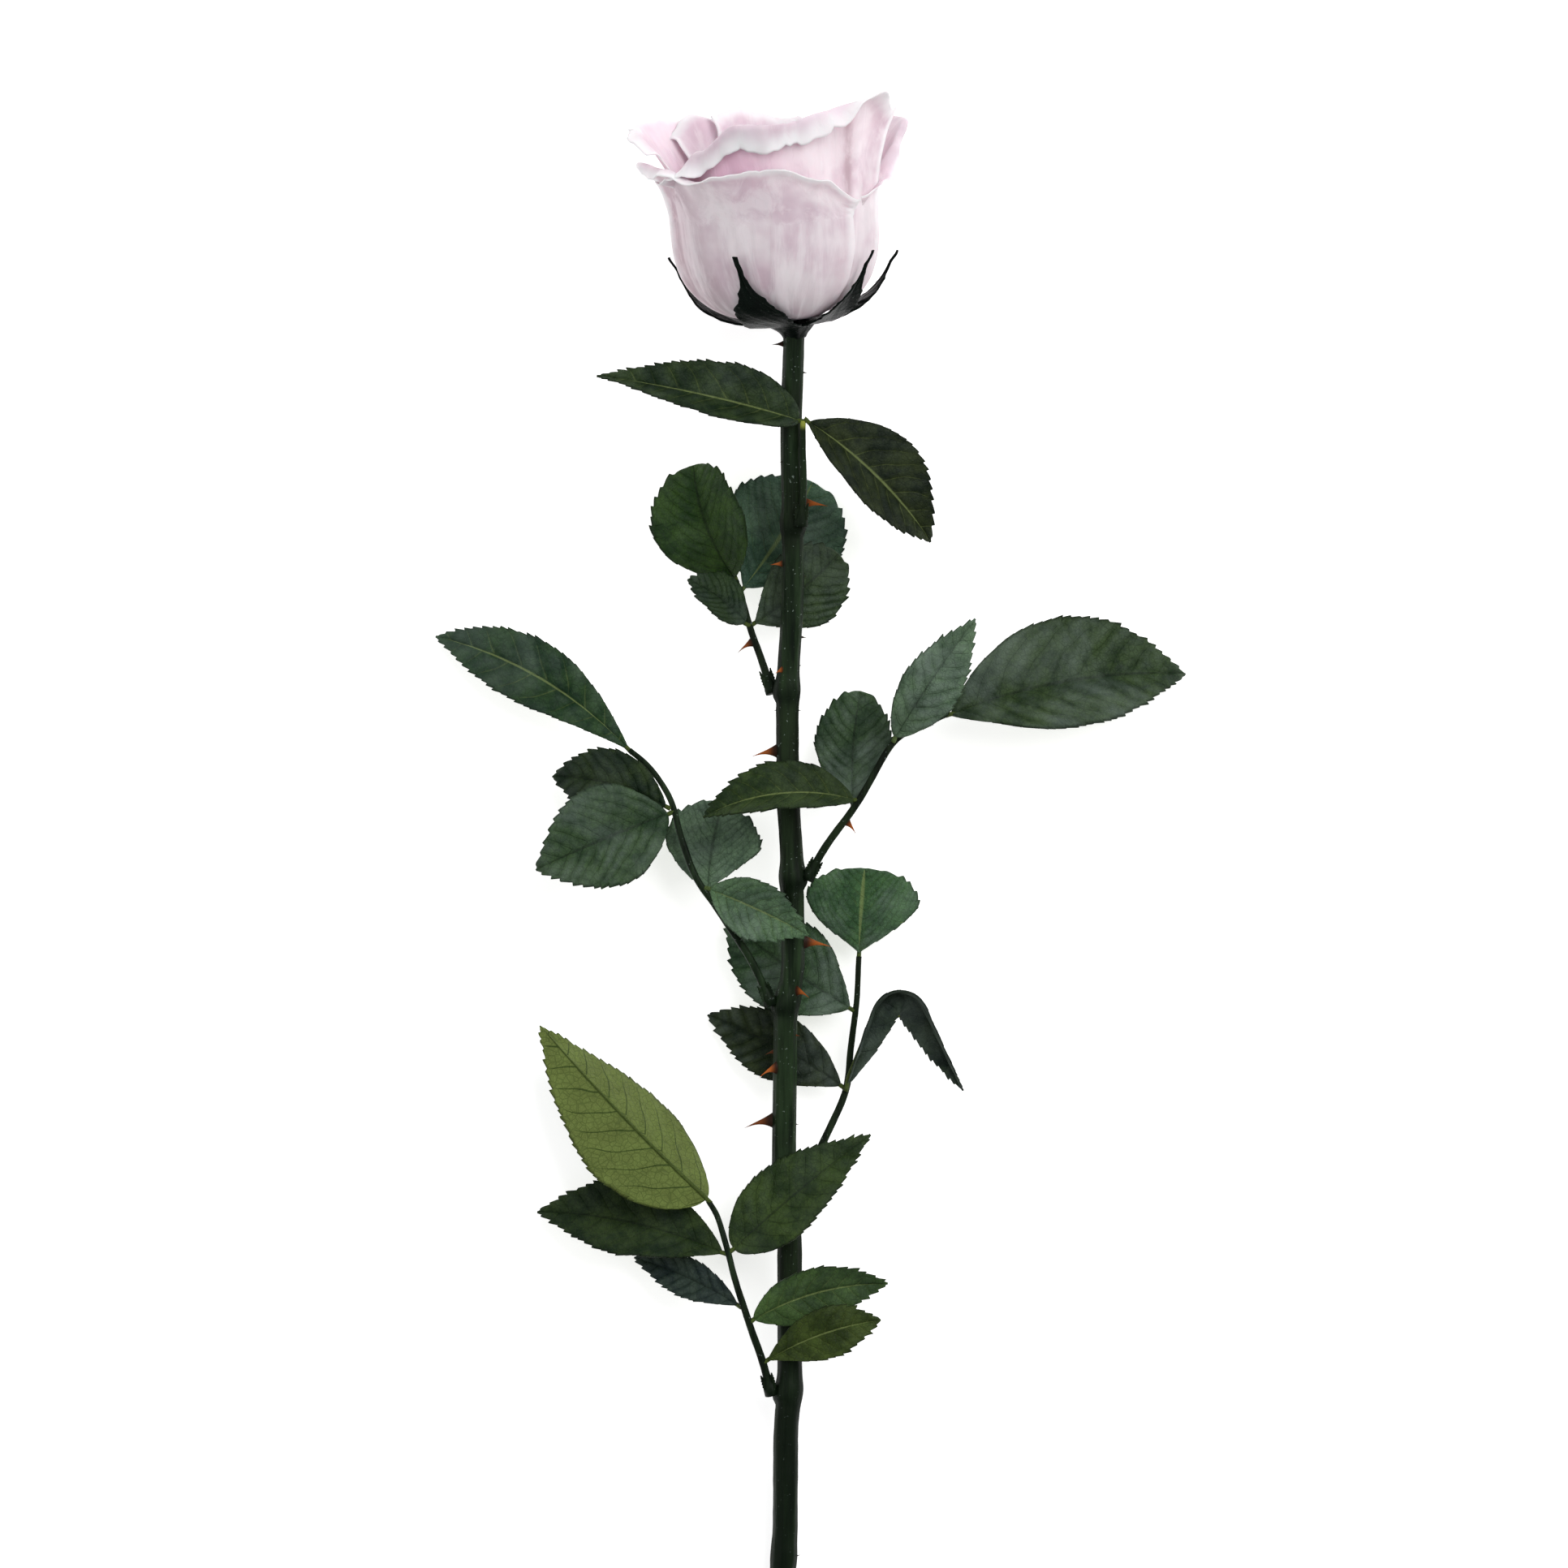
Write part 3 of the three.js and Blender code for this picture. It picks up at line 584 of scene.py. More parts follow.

# Headings are in degrees: 0 is towards the flower, 90 to the right. A stalk's points are right, ahead and up of its
# foot, its hooks are share along it, turn, length and how orange, and a leaflet's row may end with marks.
# the column after tone sets both a leaflet's pale bloom patches and the strength of its painted sheen
leafletColumns = ("length", "halfWidth", "heading", "rise", "sweep", "droop", "roll", "fold", "wide", "tone", "bloom",
                  "paleRib")
compoundLeaves = {
    "top": {
        "below": 48, "around": 28, "yellowEnd": True,
        "stalk": [(0, 0, 0), (0.6, 8, 0.6), (0.5, 17, 1.2), (0.5, 25, 2.2)],
        "leaflets": {
            "left": (51, 9.8, -77.5, 2, -8, 16, -32, 34, 0.34, "#182f16", 0.15, 1),
            "right": (43, 12, 134.5, -9, 22, 20, 28, 30, 0.5, "#071602", 0.05, 1),
        },
    },
    "behind": {
        "below": 89, "around": -118, "hooks": [(0.45, -90, 4.4, 0.5)],
        "stalk": [(0, 0, 0), (-2.4, 7, -1.5), (-5.2, 15, -3.2), (-7.2, 22, -4.6), (-8.8, 27, -5.4)],
        "leaflets": {
            "upper_left": (31, 14.2, -20, 4, 32, 50, 32, 20, 0.52, "#20430d", 0.05, 0, "blunt"),
            "upper_right": (33, 15.5, 33, -20, -10, 4, 4, 10, 0.55, "#456954", 0.5, 1, "blunt"),
            "lower_left": (19, 7, -53, 14, -24, 46, -40, 16, 0.5, "#16331a", 0.3, 0),
            "lower_right": (27, 10.4, 50, -7.5, -16, 10, -6, 14, 0.55, "#2f442b", 0.45, 0, "blunt"),
        },
    },
    "right": {
        "below": 135, "around": 72, "hooks": [(0.3, 95, 3.8, 0.8)],
        "stalk": [(0, 0, 0), (3.6, 6.4, 1.4), (12.2, 18.4, 2.6), (21.6, 33.6, 1.6), (28, 37, -0.6),
                  (34.4, 40, -2.6)],
        "leaflets": {
            "tip": (61, 16.8, 80.5, -12, 24, 20, 26, 24, 0.5, "#243b20", 0.5, 0),
            "upper": (36, 8.4, 34, 12, 8, 24, -20, 24, 0.45, "#5f7a60", 1.0, 0),
            "inner": (30, 9.6, 4, -20, 14, -26, 4, 12, 0.55, "#314e32", 0.7, 0, "blunt"),
            "crossing": (39, 9, -96.5, 6, -42, 34, -42, 26, 0.46, "#1c340d", 0.0, 1),
        },
    },
    "left": {
        "below": 166, "around": -68,
        "stalk": [(0, 0, 0), (-4.2, 9.4, 1), (-13, 23, 1.6), (-18.4, 31, 1.6), (-22, 41, 0.2), (-24.8, 50.4, -2.2),
                  (-30, 58, -4.2), (-34.6, 62, -5.6)],
        "leaflets": {
            "tip": (57, 8.6, -60, -9, -34, 18, -4, 16, 0.56, "#123b1f", 0.3, 1),
            "under": (31, 8.6, -76, -17, -30, 30, -6, 10, 0.5, "#08240c", 0.1, 0),
            "broad": (36, 13.6, -113, 0, -6, 36, -14, 16, 0.45, "#314c31", 0.5, 0),
            "inner": (23, 12, 10, -20, 16, -20, 6, 10, 0.55, "#607b63", 0.6, 0, "blunt"),
            "crossing": (27, 8, 115, 10, 10, 12, -14, 18, 0.45, "#567656", 0.6, 1),
        },
    },
    "lower_right": {
        "below": 211, "around": 96,
        "stalk": [(0, 0, 0), (4, 9, -1.4), (10.4, 23.6, -3), (11.6, 34, -3.6), (13, 45, -4), (13.6, 56.4, -4.4)],
        "leaflets": {
            "tip": (22, 14, 4, -6, 4, 56, 4, 8, 0.6, "#3d663e", 0.55, 1, "blunt"),
            "behind": (38, 11.8, -54, -8, 10, 12, -4, 8, 0.5, "#365638", 0.8, 0),
            "under": (38, 8.4, -62.5, -11, -14, 20, 0, 10, 0.5, "#041908", 0.35, 0),
            "hanging": (61, 6.6, 87.5, -7, 133, 40, -46, 40, 0.5, "#1c2f2a", 0.4, 0, "kinked"),
        },
    },
    "bottom": {
        "below": 262, "around": -72,
        "stalk": [(0, 0, 0), (-2.4, 8.4, 2.2), (-5.4, 17, 4), (-9.2, 29, 5), (-10.8, 35.4, 5), (-13.4, 43.6, 4.2),
                  (-15.4, 47, 3.4)],
        "leaflets": {
            "tip": (59.5, 15.5, -44, -3, 6, 10, -34, -22, 0.4, "#415628", 0.0, 0, "undersideUp"),
            "behind": (48, 11, -78, -12, -22, -10, -25, 20, 0.5, "#142c0e", 0.0, 0),
            "upper_right": (44, 10, 50, 2, 6, 10, 22, 16, 0.37, "#294017", 0.05, 0),
            "under": (29, 5, -66, -16, -16, 6, 0, 10, 0.5, "#1a2c31", 0.2, 0),
            "right": (35, 7.6, 75, 3, 34, 30, -18, 18, 0.46, "#436330", 0.05, 1),
            "lower_right": (31, 6.5, 70, 10, 26, 40, -4, 10, 0.56, "#40531b", 0.0, 1),
        },
    },
}
for leaf in compoundLeaves.values():
    # each leaflet's row becomes a dictionary
    for name, row in leaf["leaflets"].items():
        marks = dict.fromkeys(row[len(leafletColumns):], True)
        leaf["leaflets"][name] = dict(zip(leafletColumns, row)) | marks

# stem, with its knots and thorns
barkLook = {
    "ridge": 0.055, "broadRidge": 0.05, "lump": 0.07, "scar": 0.34, "scarSpread": 75, "foot": 0.3, "slant": 0.7,
    "oldFrom": 300, "oldLump": 0.14, "prunedAt": 303, "prunedKnot": 0.5, "dimFrom": 200, "dim": 0.75, "dimmest": 0.85,
}
# below the flower, around the stem, length, droop towards the cut, how orange
thornList = [
    (4, -90, 3, 0.2, 0), (43, 80, 6.4, 0.3, 1), (58, -80, 3.2, 0.2, 0.7), (84, -35, 3.4, 0.8, 0.8),
    (104, -88, 6.4, 0.5, 0.7), (151, 86, 7, 0.4, 0.9), (163, 40, 5, 0.8, 0.9), (178, -120, 3, 0.7, 0.2),
    (182, -48, 6, 0.9, 1), (195, -92, 7.4, 0.6, 0.35), (204, 60, 3, 0.4, 0.2), (36, 170, 5, 0.4, 0.3),
    (72, 150, 3.5, 0.4, 0.2), (120, 175, 5, 0.5, 0.3), (144, -160, 4, 0.4, 0.2), (190, 155, 4, 0.5, 0.2),
    (228, 160, 3.5, 0.4, 0.2), (11, 92, 1.3, 0.4, 0), (61, 96, 0.9, 0.4, 0), (76, 88, 1.5, 0.4, 0),
    (83, 92, 0.9, 0.2, 0), (94, 84, 1, 0.4, 0), (94, -94, 0.8, 0.4, 0), (174, 70, 1.2, 0.5, 0.3),
    (196, 96, 1, 0.3, 0), (129, 60, 0.8, 0.3, 0), (240, -80, 0.8, 0.3, 0), (33, -60, 0.9, 0.3, 0),
]
thornSizes = {"footLength": 1.0, "footWidth": 0.42, "sunk": 1.0, "sides": 16, "rings": 14}


def stemRadius(below):
    radius = mix(stemSizes["topDiameter"], stemSizes["cutDiameter"], below / stemSizes["length"]) / 2
    for leaf in compoundLeaves.values():
        radius = radius + stemSizes["swelling"] * hump(below - leaf["below"], stemSizes["swellingSpread"])
    return radius


def stemShape(share, angle, skin):
    look = barkLook
    below = stemSizes["length"] * (1 - share)
    around = np.degrees(angle)
    radius = stemRadius(below)
    ridges = look["ridge"] * np.sin(9 * angle + 0.8 * wobble(below / 26, 1))
    ridges = ridges + look["broadRidge"] * np.sin(4 * angle + wobble(below / 40, 2))
    lumps = look["lump"] * wobble(below / 3.1 + 1.3 * np.sin(angle), 5) * np.cos(angle * 2 + below / 18)
    # the bark darkens towards the cut end, and painted shade darkens it just under the flower
    dim = look["dim"] * smooth((below - look["dimFrom"]) / 80) + 0.3 * hump(below, 7)
    for leaf in compoundLeaves.values():
        # an old leaf scar rings the stem on the side where the leaf grows
        past = below - leaf["below"]
        beside = hump(angleFrom(90 - leaf["around"], around), look["scarSpread"])
        collar = hump(past - 1.6, 1.1) - 0.7 * hump(past - 3.4, 0.8)
        lumps = lumps + look["scar"] * beside * collar
        radius = radius + look["foot"] * beside * hump(past, 2.2)
        # painted shade just below each leaf's foot
        dim = np.maximum(dim, look["dim"] * hump(past - 2, 2.6))
    old = smooth((below - look["oldFrom"]) / 12)
    lumps = lumps + old * look["oldLump"] * wobble(below / 1.9 + 2 * np.cos(angle), 9)
    lumps = lumps + look["prunedKnot"] * hump(below - look["prunedAt"], 3.2) * hump(angleFrom(20, around), 50)
    radius = (radius + ridges + lumps) * skin
    slant = look["slant"] * radius * np.sin(angle) * smooth(below - stemSizes["length"] + 1)
    points = stemAxis(below) + vec(radius * np.cos(angle), -slant, radius * np.sin(angle)) + origin
    return points, {"thorn": 0, "blush": 0, "stub": 0, "dim": np.clip(dim, 0, look["dimmest"])}


def thornShape(share, angle, skin):
    return vec(share, skin * np.cos(angle), skin * np.sin(angle)) / mm, {}


def growThorn(master, foot, outward, back, length, droop, blush, dim=0.0):
    # outward is the way it grows, back the way its point hooks
    outward, back = unit(np.array(outward, float)), unit(np.array(back, float))
    sideways = np.cross(outward, back)
    thorn = master.copy()
    thorn.data = master.data.copy()
    scene.collection.objects.link(thorn)
    raw = cornersOf(thorn)
    share, aside, behind = raw[:, :1], raw[:, 1:2], raw[:, 2:3]
    wide = ((1 - share) ** 3.2 * 0.75 + (1 - share) * 0.25) * np.sqrt(length)
    points = foot + outward * (share * (length + thornSizes["sunk"]) - thornSizes["sunk"])
    points = points + sideways * aside * wide * thornSizes["footWidth"]
    points = points - back * behind * wide * thornSizes["footLength"] + back * droop * length * 0.5 * share ** 2
    moveCorners(thorn, points)
    along = share[:, 0]
    blush = blush * 0.7 * smooth((along - 0.2) / 0.35) * (1 - 0.5 * smooth((along - 0.85) / 0.15))
    setMarks(thorn, {"thorn": smooth(along * 3), "blush": blush, "stub": 0, "dim": dim})
    return thorn


def makeStem():
    stem = roundPiece("stemBark", stemSizes["sides"], stemSizes["rings"], stemShape)
    thorns = []
    for below, around, length, droop, blush in thornList:
        angle = np.radians(around)
        outward = vec(np.sin(angle), 0, np.cos(angle))
        foot = stemAxis(float(below)) + outward * (stemRadius(float(below)) - 0.1) + origin
        thorns.append(growThorn(thornMaster, foot, outward, (0, -1, 0), length, droop, blush))
    # the pruned side shoot low on the stem
    cut = float(barkLook["prunedAt"])
    foot = stemAxis(cut) + np.array([stemRadius(cut) - 0.6, 0, 0.6]) + origin
    thorns.append(growThorn(thornMaster, foot, (1, 0.25, 0.1), (0, 1, 0), 2.2, 0.2, 0, 0.7))
    return finishPiece(joinTo(stem, thorns), "stem", "stem", bark)


# compound leaves
leafLook = {
    "thickness": 0.36, "restHeight": 0.3, "tipWidth": 0.12, "columns": 28, "rows": 140, "midribSteps": 160,
    "teeth": 21, "teethLength": 45, "fewestTeeth": 12, "toothDepth": 0.62, "toothBack": 0.86,
    "foldSoftness": 0.012, "grooveDepth": 0.3, "grooveWidth": 0.45, "wave": 0.5, "curl": 0.05,
    "veinPairs": 9, "veinSlope": 0.62, "veinCurve": 0.35, "quilt": 0.34,
}
ribLook = {"sides": 10, "rings": 60, "thickness": 0.62, "tipThickness": 0.14, "restHeight": 0.05, "runsBack": 1.5}
stalkLook = {
    "steps": 200, "sides": 14, "rings": 72, "radius": 1.0, "tipRadius": 0.68, "groove": 0.16, "dim": 0.18,
    "footSwelling": 0.7425, "footSpread": 2.2, "stubLength": 2.4,
}
wingLook = {"length": 5, "width": 1.0, "tipWidth": 0.12, "thickness": 0.26, "columns": 6, "rows": 30}


def directionOf(heading, rise):
    return vec(np.sin(heading) * np.cos(rise), np.cos(heading) * np.cos(rise), np.sin(rise))


def midribOf(leaflet, share):
    # adds the midrib up from short steps, as a bending line; gives points, right and up there
    steps = leafLook["midribSteps"]
    at = np.arange(steps + 1) / steps
    turned = (smooth((at - 0.3) / 0.3) if leaflet.get("kinked") else at) - 0.5
    heading = np.radians(leaflet["heading"] + leaflet["sweep"] * turned)
    rise = np.radians(leaflet["rise"] - leaflet["droop"] * turned)
    ahead = directionOf(heading, rise)
    line = np.concatenate([np.zeros((1, 3)), np.cumsum(ahead[:-1], 0)]) * leaflet["length"] / steps
    right = vec(np.cos(heading), -np.sin(heading), 0)
    up = np.cross(right, ahead)
    within = np.clip(share, 0, 1)
    points, right, up, ahead = (alongLine(within * steps, np.arange(steps + 1), v) for v in (line, right, up, ahead))
    return points + ahead * ((share - within) * leaflet["length"])[:, None], unit(right), unit(up)


def leafOutline(leaflet, share):
    share = np.clip(share, 0, 1)
    arch = np.maximum(np.sin(np.pi * share ** (np.log(0.5) / np.log(leaflet["wide"]))), 0)
    return arch ** np.where(share < leaflet["wide"], 0.8, 0.55 if leaflet.get("blunt") else 1.0)


def rolledMidrib(leaflet, share):
    # points on the midrib, and the ways out to the blade's side and up from its face
    at, right, up = midribOf(leaflet, share)
    roll = np.radians(leaflet["roll"])
    return at, right * np.cos(roll) + up * np.sin(roll), up * np.cos(roll) - right * np.sin(roll)


def plainLeafBox(leaflet):
    # the middle of the box of the simple blade, which says where the leaflet hangs
    share, across = (v.ravel() for v in np.meshgrid(np.linspace(0, 1, 9), np.linspace(-1, 1, 5)))
    at, side, out = rolledMidrib(leaflet, share)
    half = np.maximum(leaflet["halfWidth"] * leafOutline(leaflet, share), 0.45)[:, None]
    fold = np.radians(leaflet["fold"])
    points = at + side * across[:, None] * half * np.cos(fold) + out * np.abs(across)[:, None] * half * np.sin(fold)
    return (points.min(0) + points.max(0)) / 2


def leafShape(leaflet, place, seed):
    look, length, width = leafLook, leaflet["length"], leaflet["halfWidth"]
    teeth = max(round(look["teeth"] * length / look["teethLength"]), look["fewestTeeth"])
    back = look["toothBack"]
    fold = np.radians(leaflet["fold"])

    def shape(share, across):
        edge, rightHalf = np.abs(across), across > 0
        count = share * teeth + 0.35 * np.sign(across) + 0.3 * wobble(share * 9, seed)
        tooth = np.where(count % 1 < back, (count % 1) / back, (1 - count % 1) / (1 - back))
        tooth = tooth * (0.75 + 0.4 * wobble(np.floor(count) * 2.1 + across, seed + 1))
        rimOnly = edge ** 10
        inside = smooth(share / 0.08) * smooth((1 - share) / 0.05)
        outline = leafOutline(leaflet, share)
        irregular = 1 + 0.035 * wobble(share * 7 + rightHalf * 3, seed + 2)
        half = np.maximum(width * outline * irregular, look["tipWidth"])
        half = half + (tooth - 0.35) * look["toothDepth"] * rimOnly * inside
        at, side, out = rolledMidrib(leaflet, share + tooth * 0.5 / teeth * rimOnly * inside)
        aside = across * half
        # side veins, with the blade quilted up between them
        veined = share ** 0.92 - look["veinSlope"] * edge * half / length
        veinPhase = look["veinPairs"] * (veined - look["veinCurve"] * (edge * half / length) ** 2 * 4)
        veinPhase = veinPhase + np.where(rightHalf, 0.5, 0) + 0.18 * wobble(share * 11, seed + 3)
        between = np.sin(np.pi * (veinPhase % 1)) ** 0.6
        quilt = look["quilt"] * (between - 0.6) * smooth(edge / 0.16)
        quilt = quilt * (1 - 0.65 * edge ** 3) * smooth(outline * 1.6)
        groove = -look["grooveDepth"] * hump(aside, look["grooveWidth"])
        wave = look["wave"] * edge ** 2.2 * wobble(share * 8.5 + rightHalf * 2.4, seed + 4) * inside
        wave = wave * min(width / 10, 1.2)
        # the fold is rounded near the midrib
        soft = np.sqrt(edge ** 2 + look["foldSoftness"]) - np.sqrt(look["foldSoftness"])
        lift = soft * half * np.sin(fold) + wave
        lift = lift + (-quilt * 1.1 - 0.5 * groove if leaflet.get("undersideUp") else quilt + groove)
        lift = lift - (look["curl"] * width * edge ** 3 if leaflet["fold"] >= 0 else 0)
        points = place + at + side * (aside * np.cos(fold))[:, None] + out * lift[:, None]
        points[:, 2] = np.maximum(points[:, 2], look["restHeight"])  # the table holds up what would hang lower
        marks = {"paleRib": leaflet["paleRib"], "bloom": leaflet["bloom"]}
        return points, {"veinPhase": veinPhase, "across": across, **marks}
    return shape


def makeLeaflet(node, leaflet, seed):
    place = boxMiddle(node) - plainLeafBox(leaflet)
    flipped = leaflet.get("undersideUp")
    skins = (leafUnder, leafUpper) if flipped else (leafUpper, leafUnder)
    piece = sheetPiece(node + "Blade", leafLook["columns"], leafLook["rows"], leafShape(leaflet, place, seed))
    addMaterials(piece, *skins)
    thicken(piece, leafLook["thickness"], 1)

    def ribShape(share, angle, skin):
        # the midrib stands out under the blade, and runs back into the stalk
        at, side, out = rolledMidrib(leaflet, mix(-ribLook["runsBack"] / leaflet["length"], 0.95, share))
        thick = mix(ribLook["thickness"], ribLook["tipThickness"], share ** 0.7)
        under = (0.34 if flipped else -0.32 - 0.8 * thick) * smooth(share / 0.06)
        high, wide = under + thick * skin * np.sin(angle), thick * skin * np.cos(angle)
        points = place + at + out * high[:, None] + side * wide[:, None]
        points[:, 2] = np.maximum(points[:, 2], ribLook["restHeight"])
        return points, {"veinPhase": 0.5, "across": 0.0, "paleRib": leaflet["paleRib"], "bloom": 0.0}
    rib = roundPiece(node + "Rib", ribLook["sides"], ribLook["rings"], ribShape)
    addMaterials(rib, *skins)
    if not flipped:
        rib.data.polygons.foreach_set("material_index", np.ones(len(rib.data.polygons), np.int32))
    joinTo(piece, [rib])
    tone = piece.data.color_attributes.new("tone", "FLOAT_COLOR", "POINT")
    tone.data.foreach_set("color", np.tile(colour(leaflet["tone"]), len(piece.data.vertices)))
    return finishPiece(piece, node, "leaf")


def curveThrough(points, steps):
    # a smooth line through all the points, stepped evenly along its length
    points = np.array(points, float)
    ends = np.vstack([2 * points[0] - points[1], points, 2 * points[-1] - points[-2]])
    line = []
    for a, b, c, d in zip(ends, ends[1:], ends[2:], ends[3:]):
        knots = np.cumsum([0] + [max(np.linalg.norm(q - p) ** 0.5, 1e-4) for p, q in ((a, b), (b, c), (c, d))])
        t = np.linspace(knots[1], knots[2], 24, endpoint=False)[:, None]

        def between(start, end, i, j):
            return mix(start, end, (t - knots[i]) / (knots[j] - knots[i]))
        ab, bc, cd = between(a, b, 0, 1), between(b, c, 1, 2), between(c, d, 2, 3)
        line.append(between(between(ab, bc, 0, 2), between(bc, cd, 1, 3), 1, 2))
    line = np.vstack(line + [points[-1:]])
    run = np.concatenate([[0], np.cumsum(np.linalg.norm(np.diff(line, axis=0), axis=1))])
    return alongLine(np.linspace(0, run[-1], steps + 1), run, line)


def stalkFrame(node, leaf):
    # the stalk's middle line, and the ways ahead, aside and up along it
    line = curveThrough(leaf["stalk"], stalkLook["steps"])
    line = line - (line.min(0) + line.max(0)) / 2 + boxMiddle(node)
    ahead = unit(np.gradient(line, axis=0))
    side = unit(np.cross(ahead, np.array([0.0, 0.0, 1.0])))
    return line, ahead, side, np.cross(side, ahead)


def alongStalk(stalk, place):
    return (alongLine(place, np.arange(stalkLook["steps"] + 1), values) for values in stalk)


def makeStalk(node, leaf, seed):
    look, stalk = stalkLook, stalkFrame(node, leaf)
    length = np.linalg.norm(np.diff(stalk[0], axis=0), axis=1).sum()

    def shape(share, angle, skin):
        run = share * length
        line, ahead, side, up = alongStalk(stalk, share * look["steps"])
        radius = mix(look["radius"], look["tipRadius"], share) + look["footSwelling"] * hump(run, look["footSpread"])
        radius = radius * (1 + 0.05 * wobble(run / 2 + angle, seed))
        radius = (radius - look["groove"] * hump(angle, 0.5) * smooth(run / 4)) * skin
        back = np.exp(-run / 0.4)[:, None] * ahead * -0.9
        points = line + back + up * (radius * np.cos(angle))[:, None] + side * (radius * np.sin(angle))[:, None]
        stub = smooth((run - length + look["stubLength"]) / 1.6) * ("yellowEnd" in leaf)
        # painted shade at the stalk's foot, where it meets the stem, on a stalk a little darker all along
        return points, {"thorn": 0, "blush": 0, "stub": stub, "dim": 0.5 * hump(run, 3) + look["dim"]}
    piece = roundPiece(node + "Skin", look["sides"], look["rings"], shape)
    extras = []
    for share, turn, size, blush in leaf.get("hooks", ()):
        line, ahead, side, up = (v[0] for v in alongStalk(stalk, np.array([share * look["steps"]])))
        outward = side * np.sin(np.radians(turn)) + up * np.cos(np.radians(turn))
        extras.append(growThorn(thornMaster, line + outward * 0.7, outward, -ahead, size, 0.7, blush, 0.3))
    for hand in (-1, 1):
        extras.append(makeWing(node, stalk, length / look["steps"], hand))
    return finishPiece(joinTo(piece, extras), node, "stem", bark)


def makeWing(node, stalk, step, hand):
    # a thin green wing on each side of the stalk's foot, with a free tip
    look = wingLook

    def shape(share, across):
        line, _, side, up = alongStalk(stalk, np.clip(share * look["length"] / step, 0, stalkLook["steps"] - 1))
        free = smooth((share - 0.62) / 0.38)
        out = (across + 1) / 2
        width = look["width"] * smooth(share / 0.25) * (1 - free) + look["tipWidth"]
        width = width * (1 + 0.1 * np.sin(share * 40) * out)
        points = line + side * hand * (0.5 + 0.8 * free + out * width)[:, None]
        points = points + up * (0.5 + 0.5 * out + 0.9 * free)[:, None]
        return points, {"thorn": 0, "blush": 0, "stub": 0.0, "dim": 0.25}
    wing = sheetPiece(node + "Wing", look["columns"], look["rows"], shape)
    if hand < 0:
        only(wing)
        bpy.ops.object.mode_set(mode="EDIT")
        bpy.ops.mesh.select_all(action="SELECT")
        bpy.ops.mesh.flip_normals()
        bpy.ops.object.mode_set(mode="OBJECT")
    thicken(wing, look["thickness"])
    return wing


thornMaster = roundPiece("thorn", thornSizes["sides"], thornSizes["rings"], thornShape)
makeStem()
print("stem grown with", len(thornList), "thorns")
for seed, (group, leaf) in enumerate(compoundLeaves.items()):
    makeStalk("stalk_" + group, leaf, seed)
    for k, (name, leaflet) in enumerate(leaf["leaflets"].items()):
        makeLeaflet("leaflet_" + group + "_" + name, leaflet, seed * 7 + k)
    print("leaf", group, "grown with", len(leaf["leaflets"]), "leaflets")
bpy.data.objects.remove(thornMaster)

# flower: its petals lie in nested bowls, layer 0 in the heart and 1 outside
flower = {
    "tilt": 10, "lean": 4.5, "setLeft": 1, "radius": 26, "coreRadius": 2.4, "floor": 2.8, "coneHeight": 15,
    "bellyHeight": 26, "coreBellyHeight": 9, "bowlPower": 3, "closing": 0.3, "hipRimRadius": 6, "thickness": 0.34,
    "columns": 72, "rows": 84, "innerColumns": 44, "innerRows": 44, "wallSteps": 28,
}
innerPetals = {"count": 12, "turn": 137.5, "firstAngle": 80, "height": 39.5, "widest": 96, "narrowest": 62}

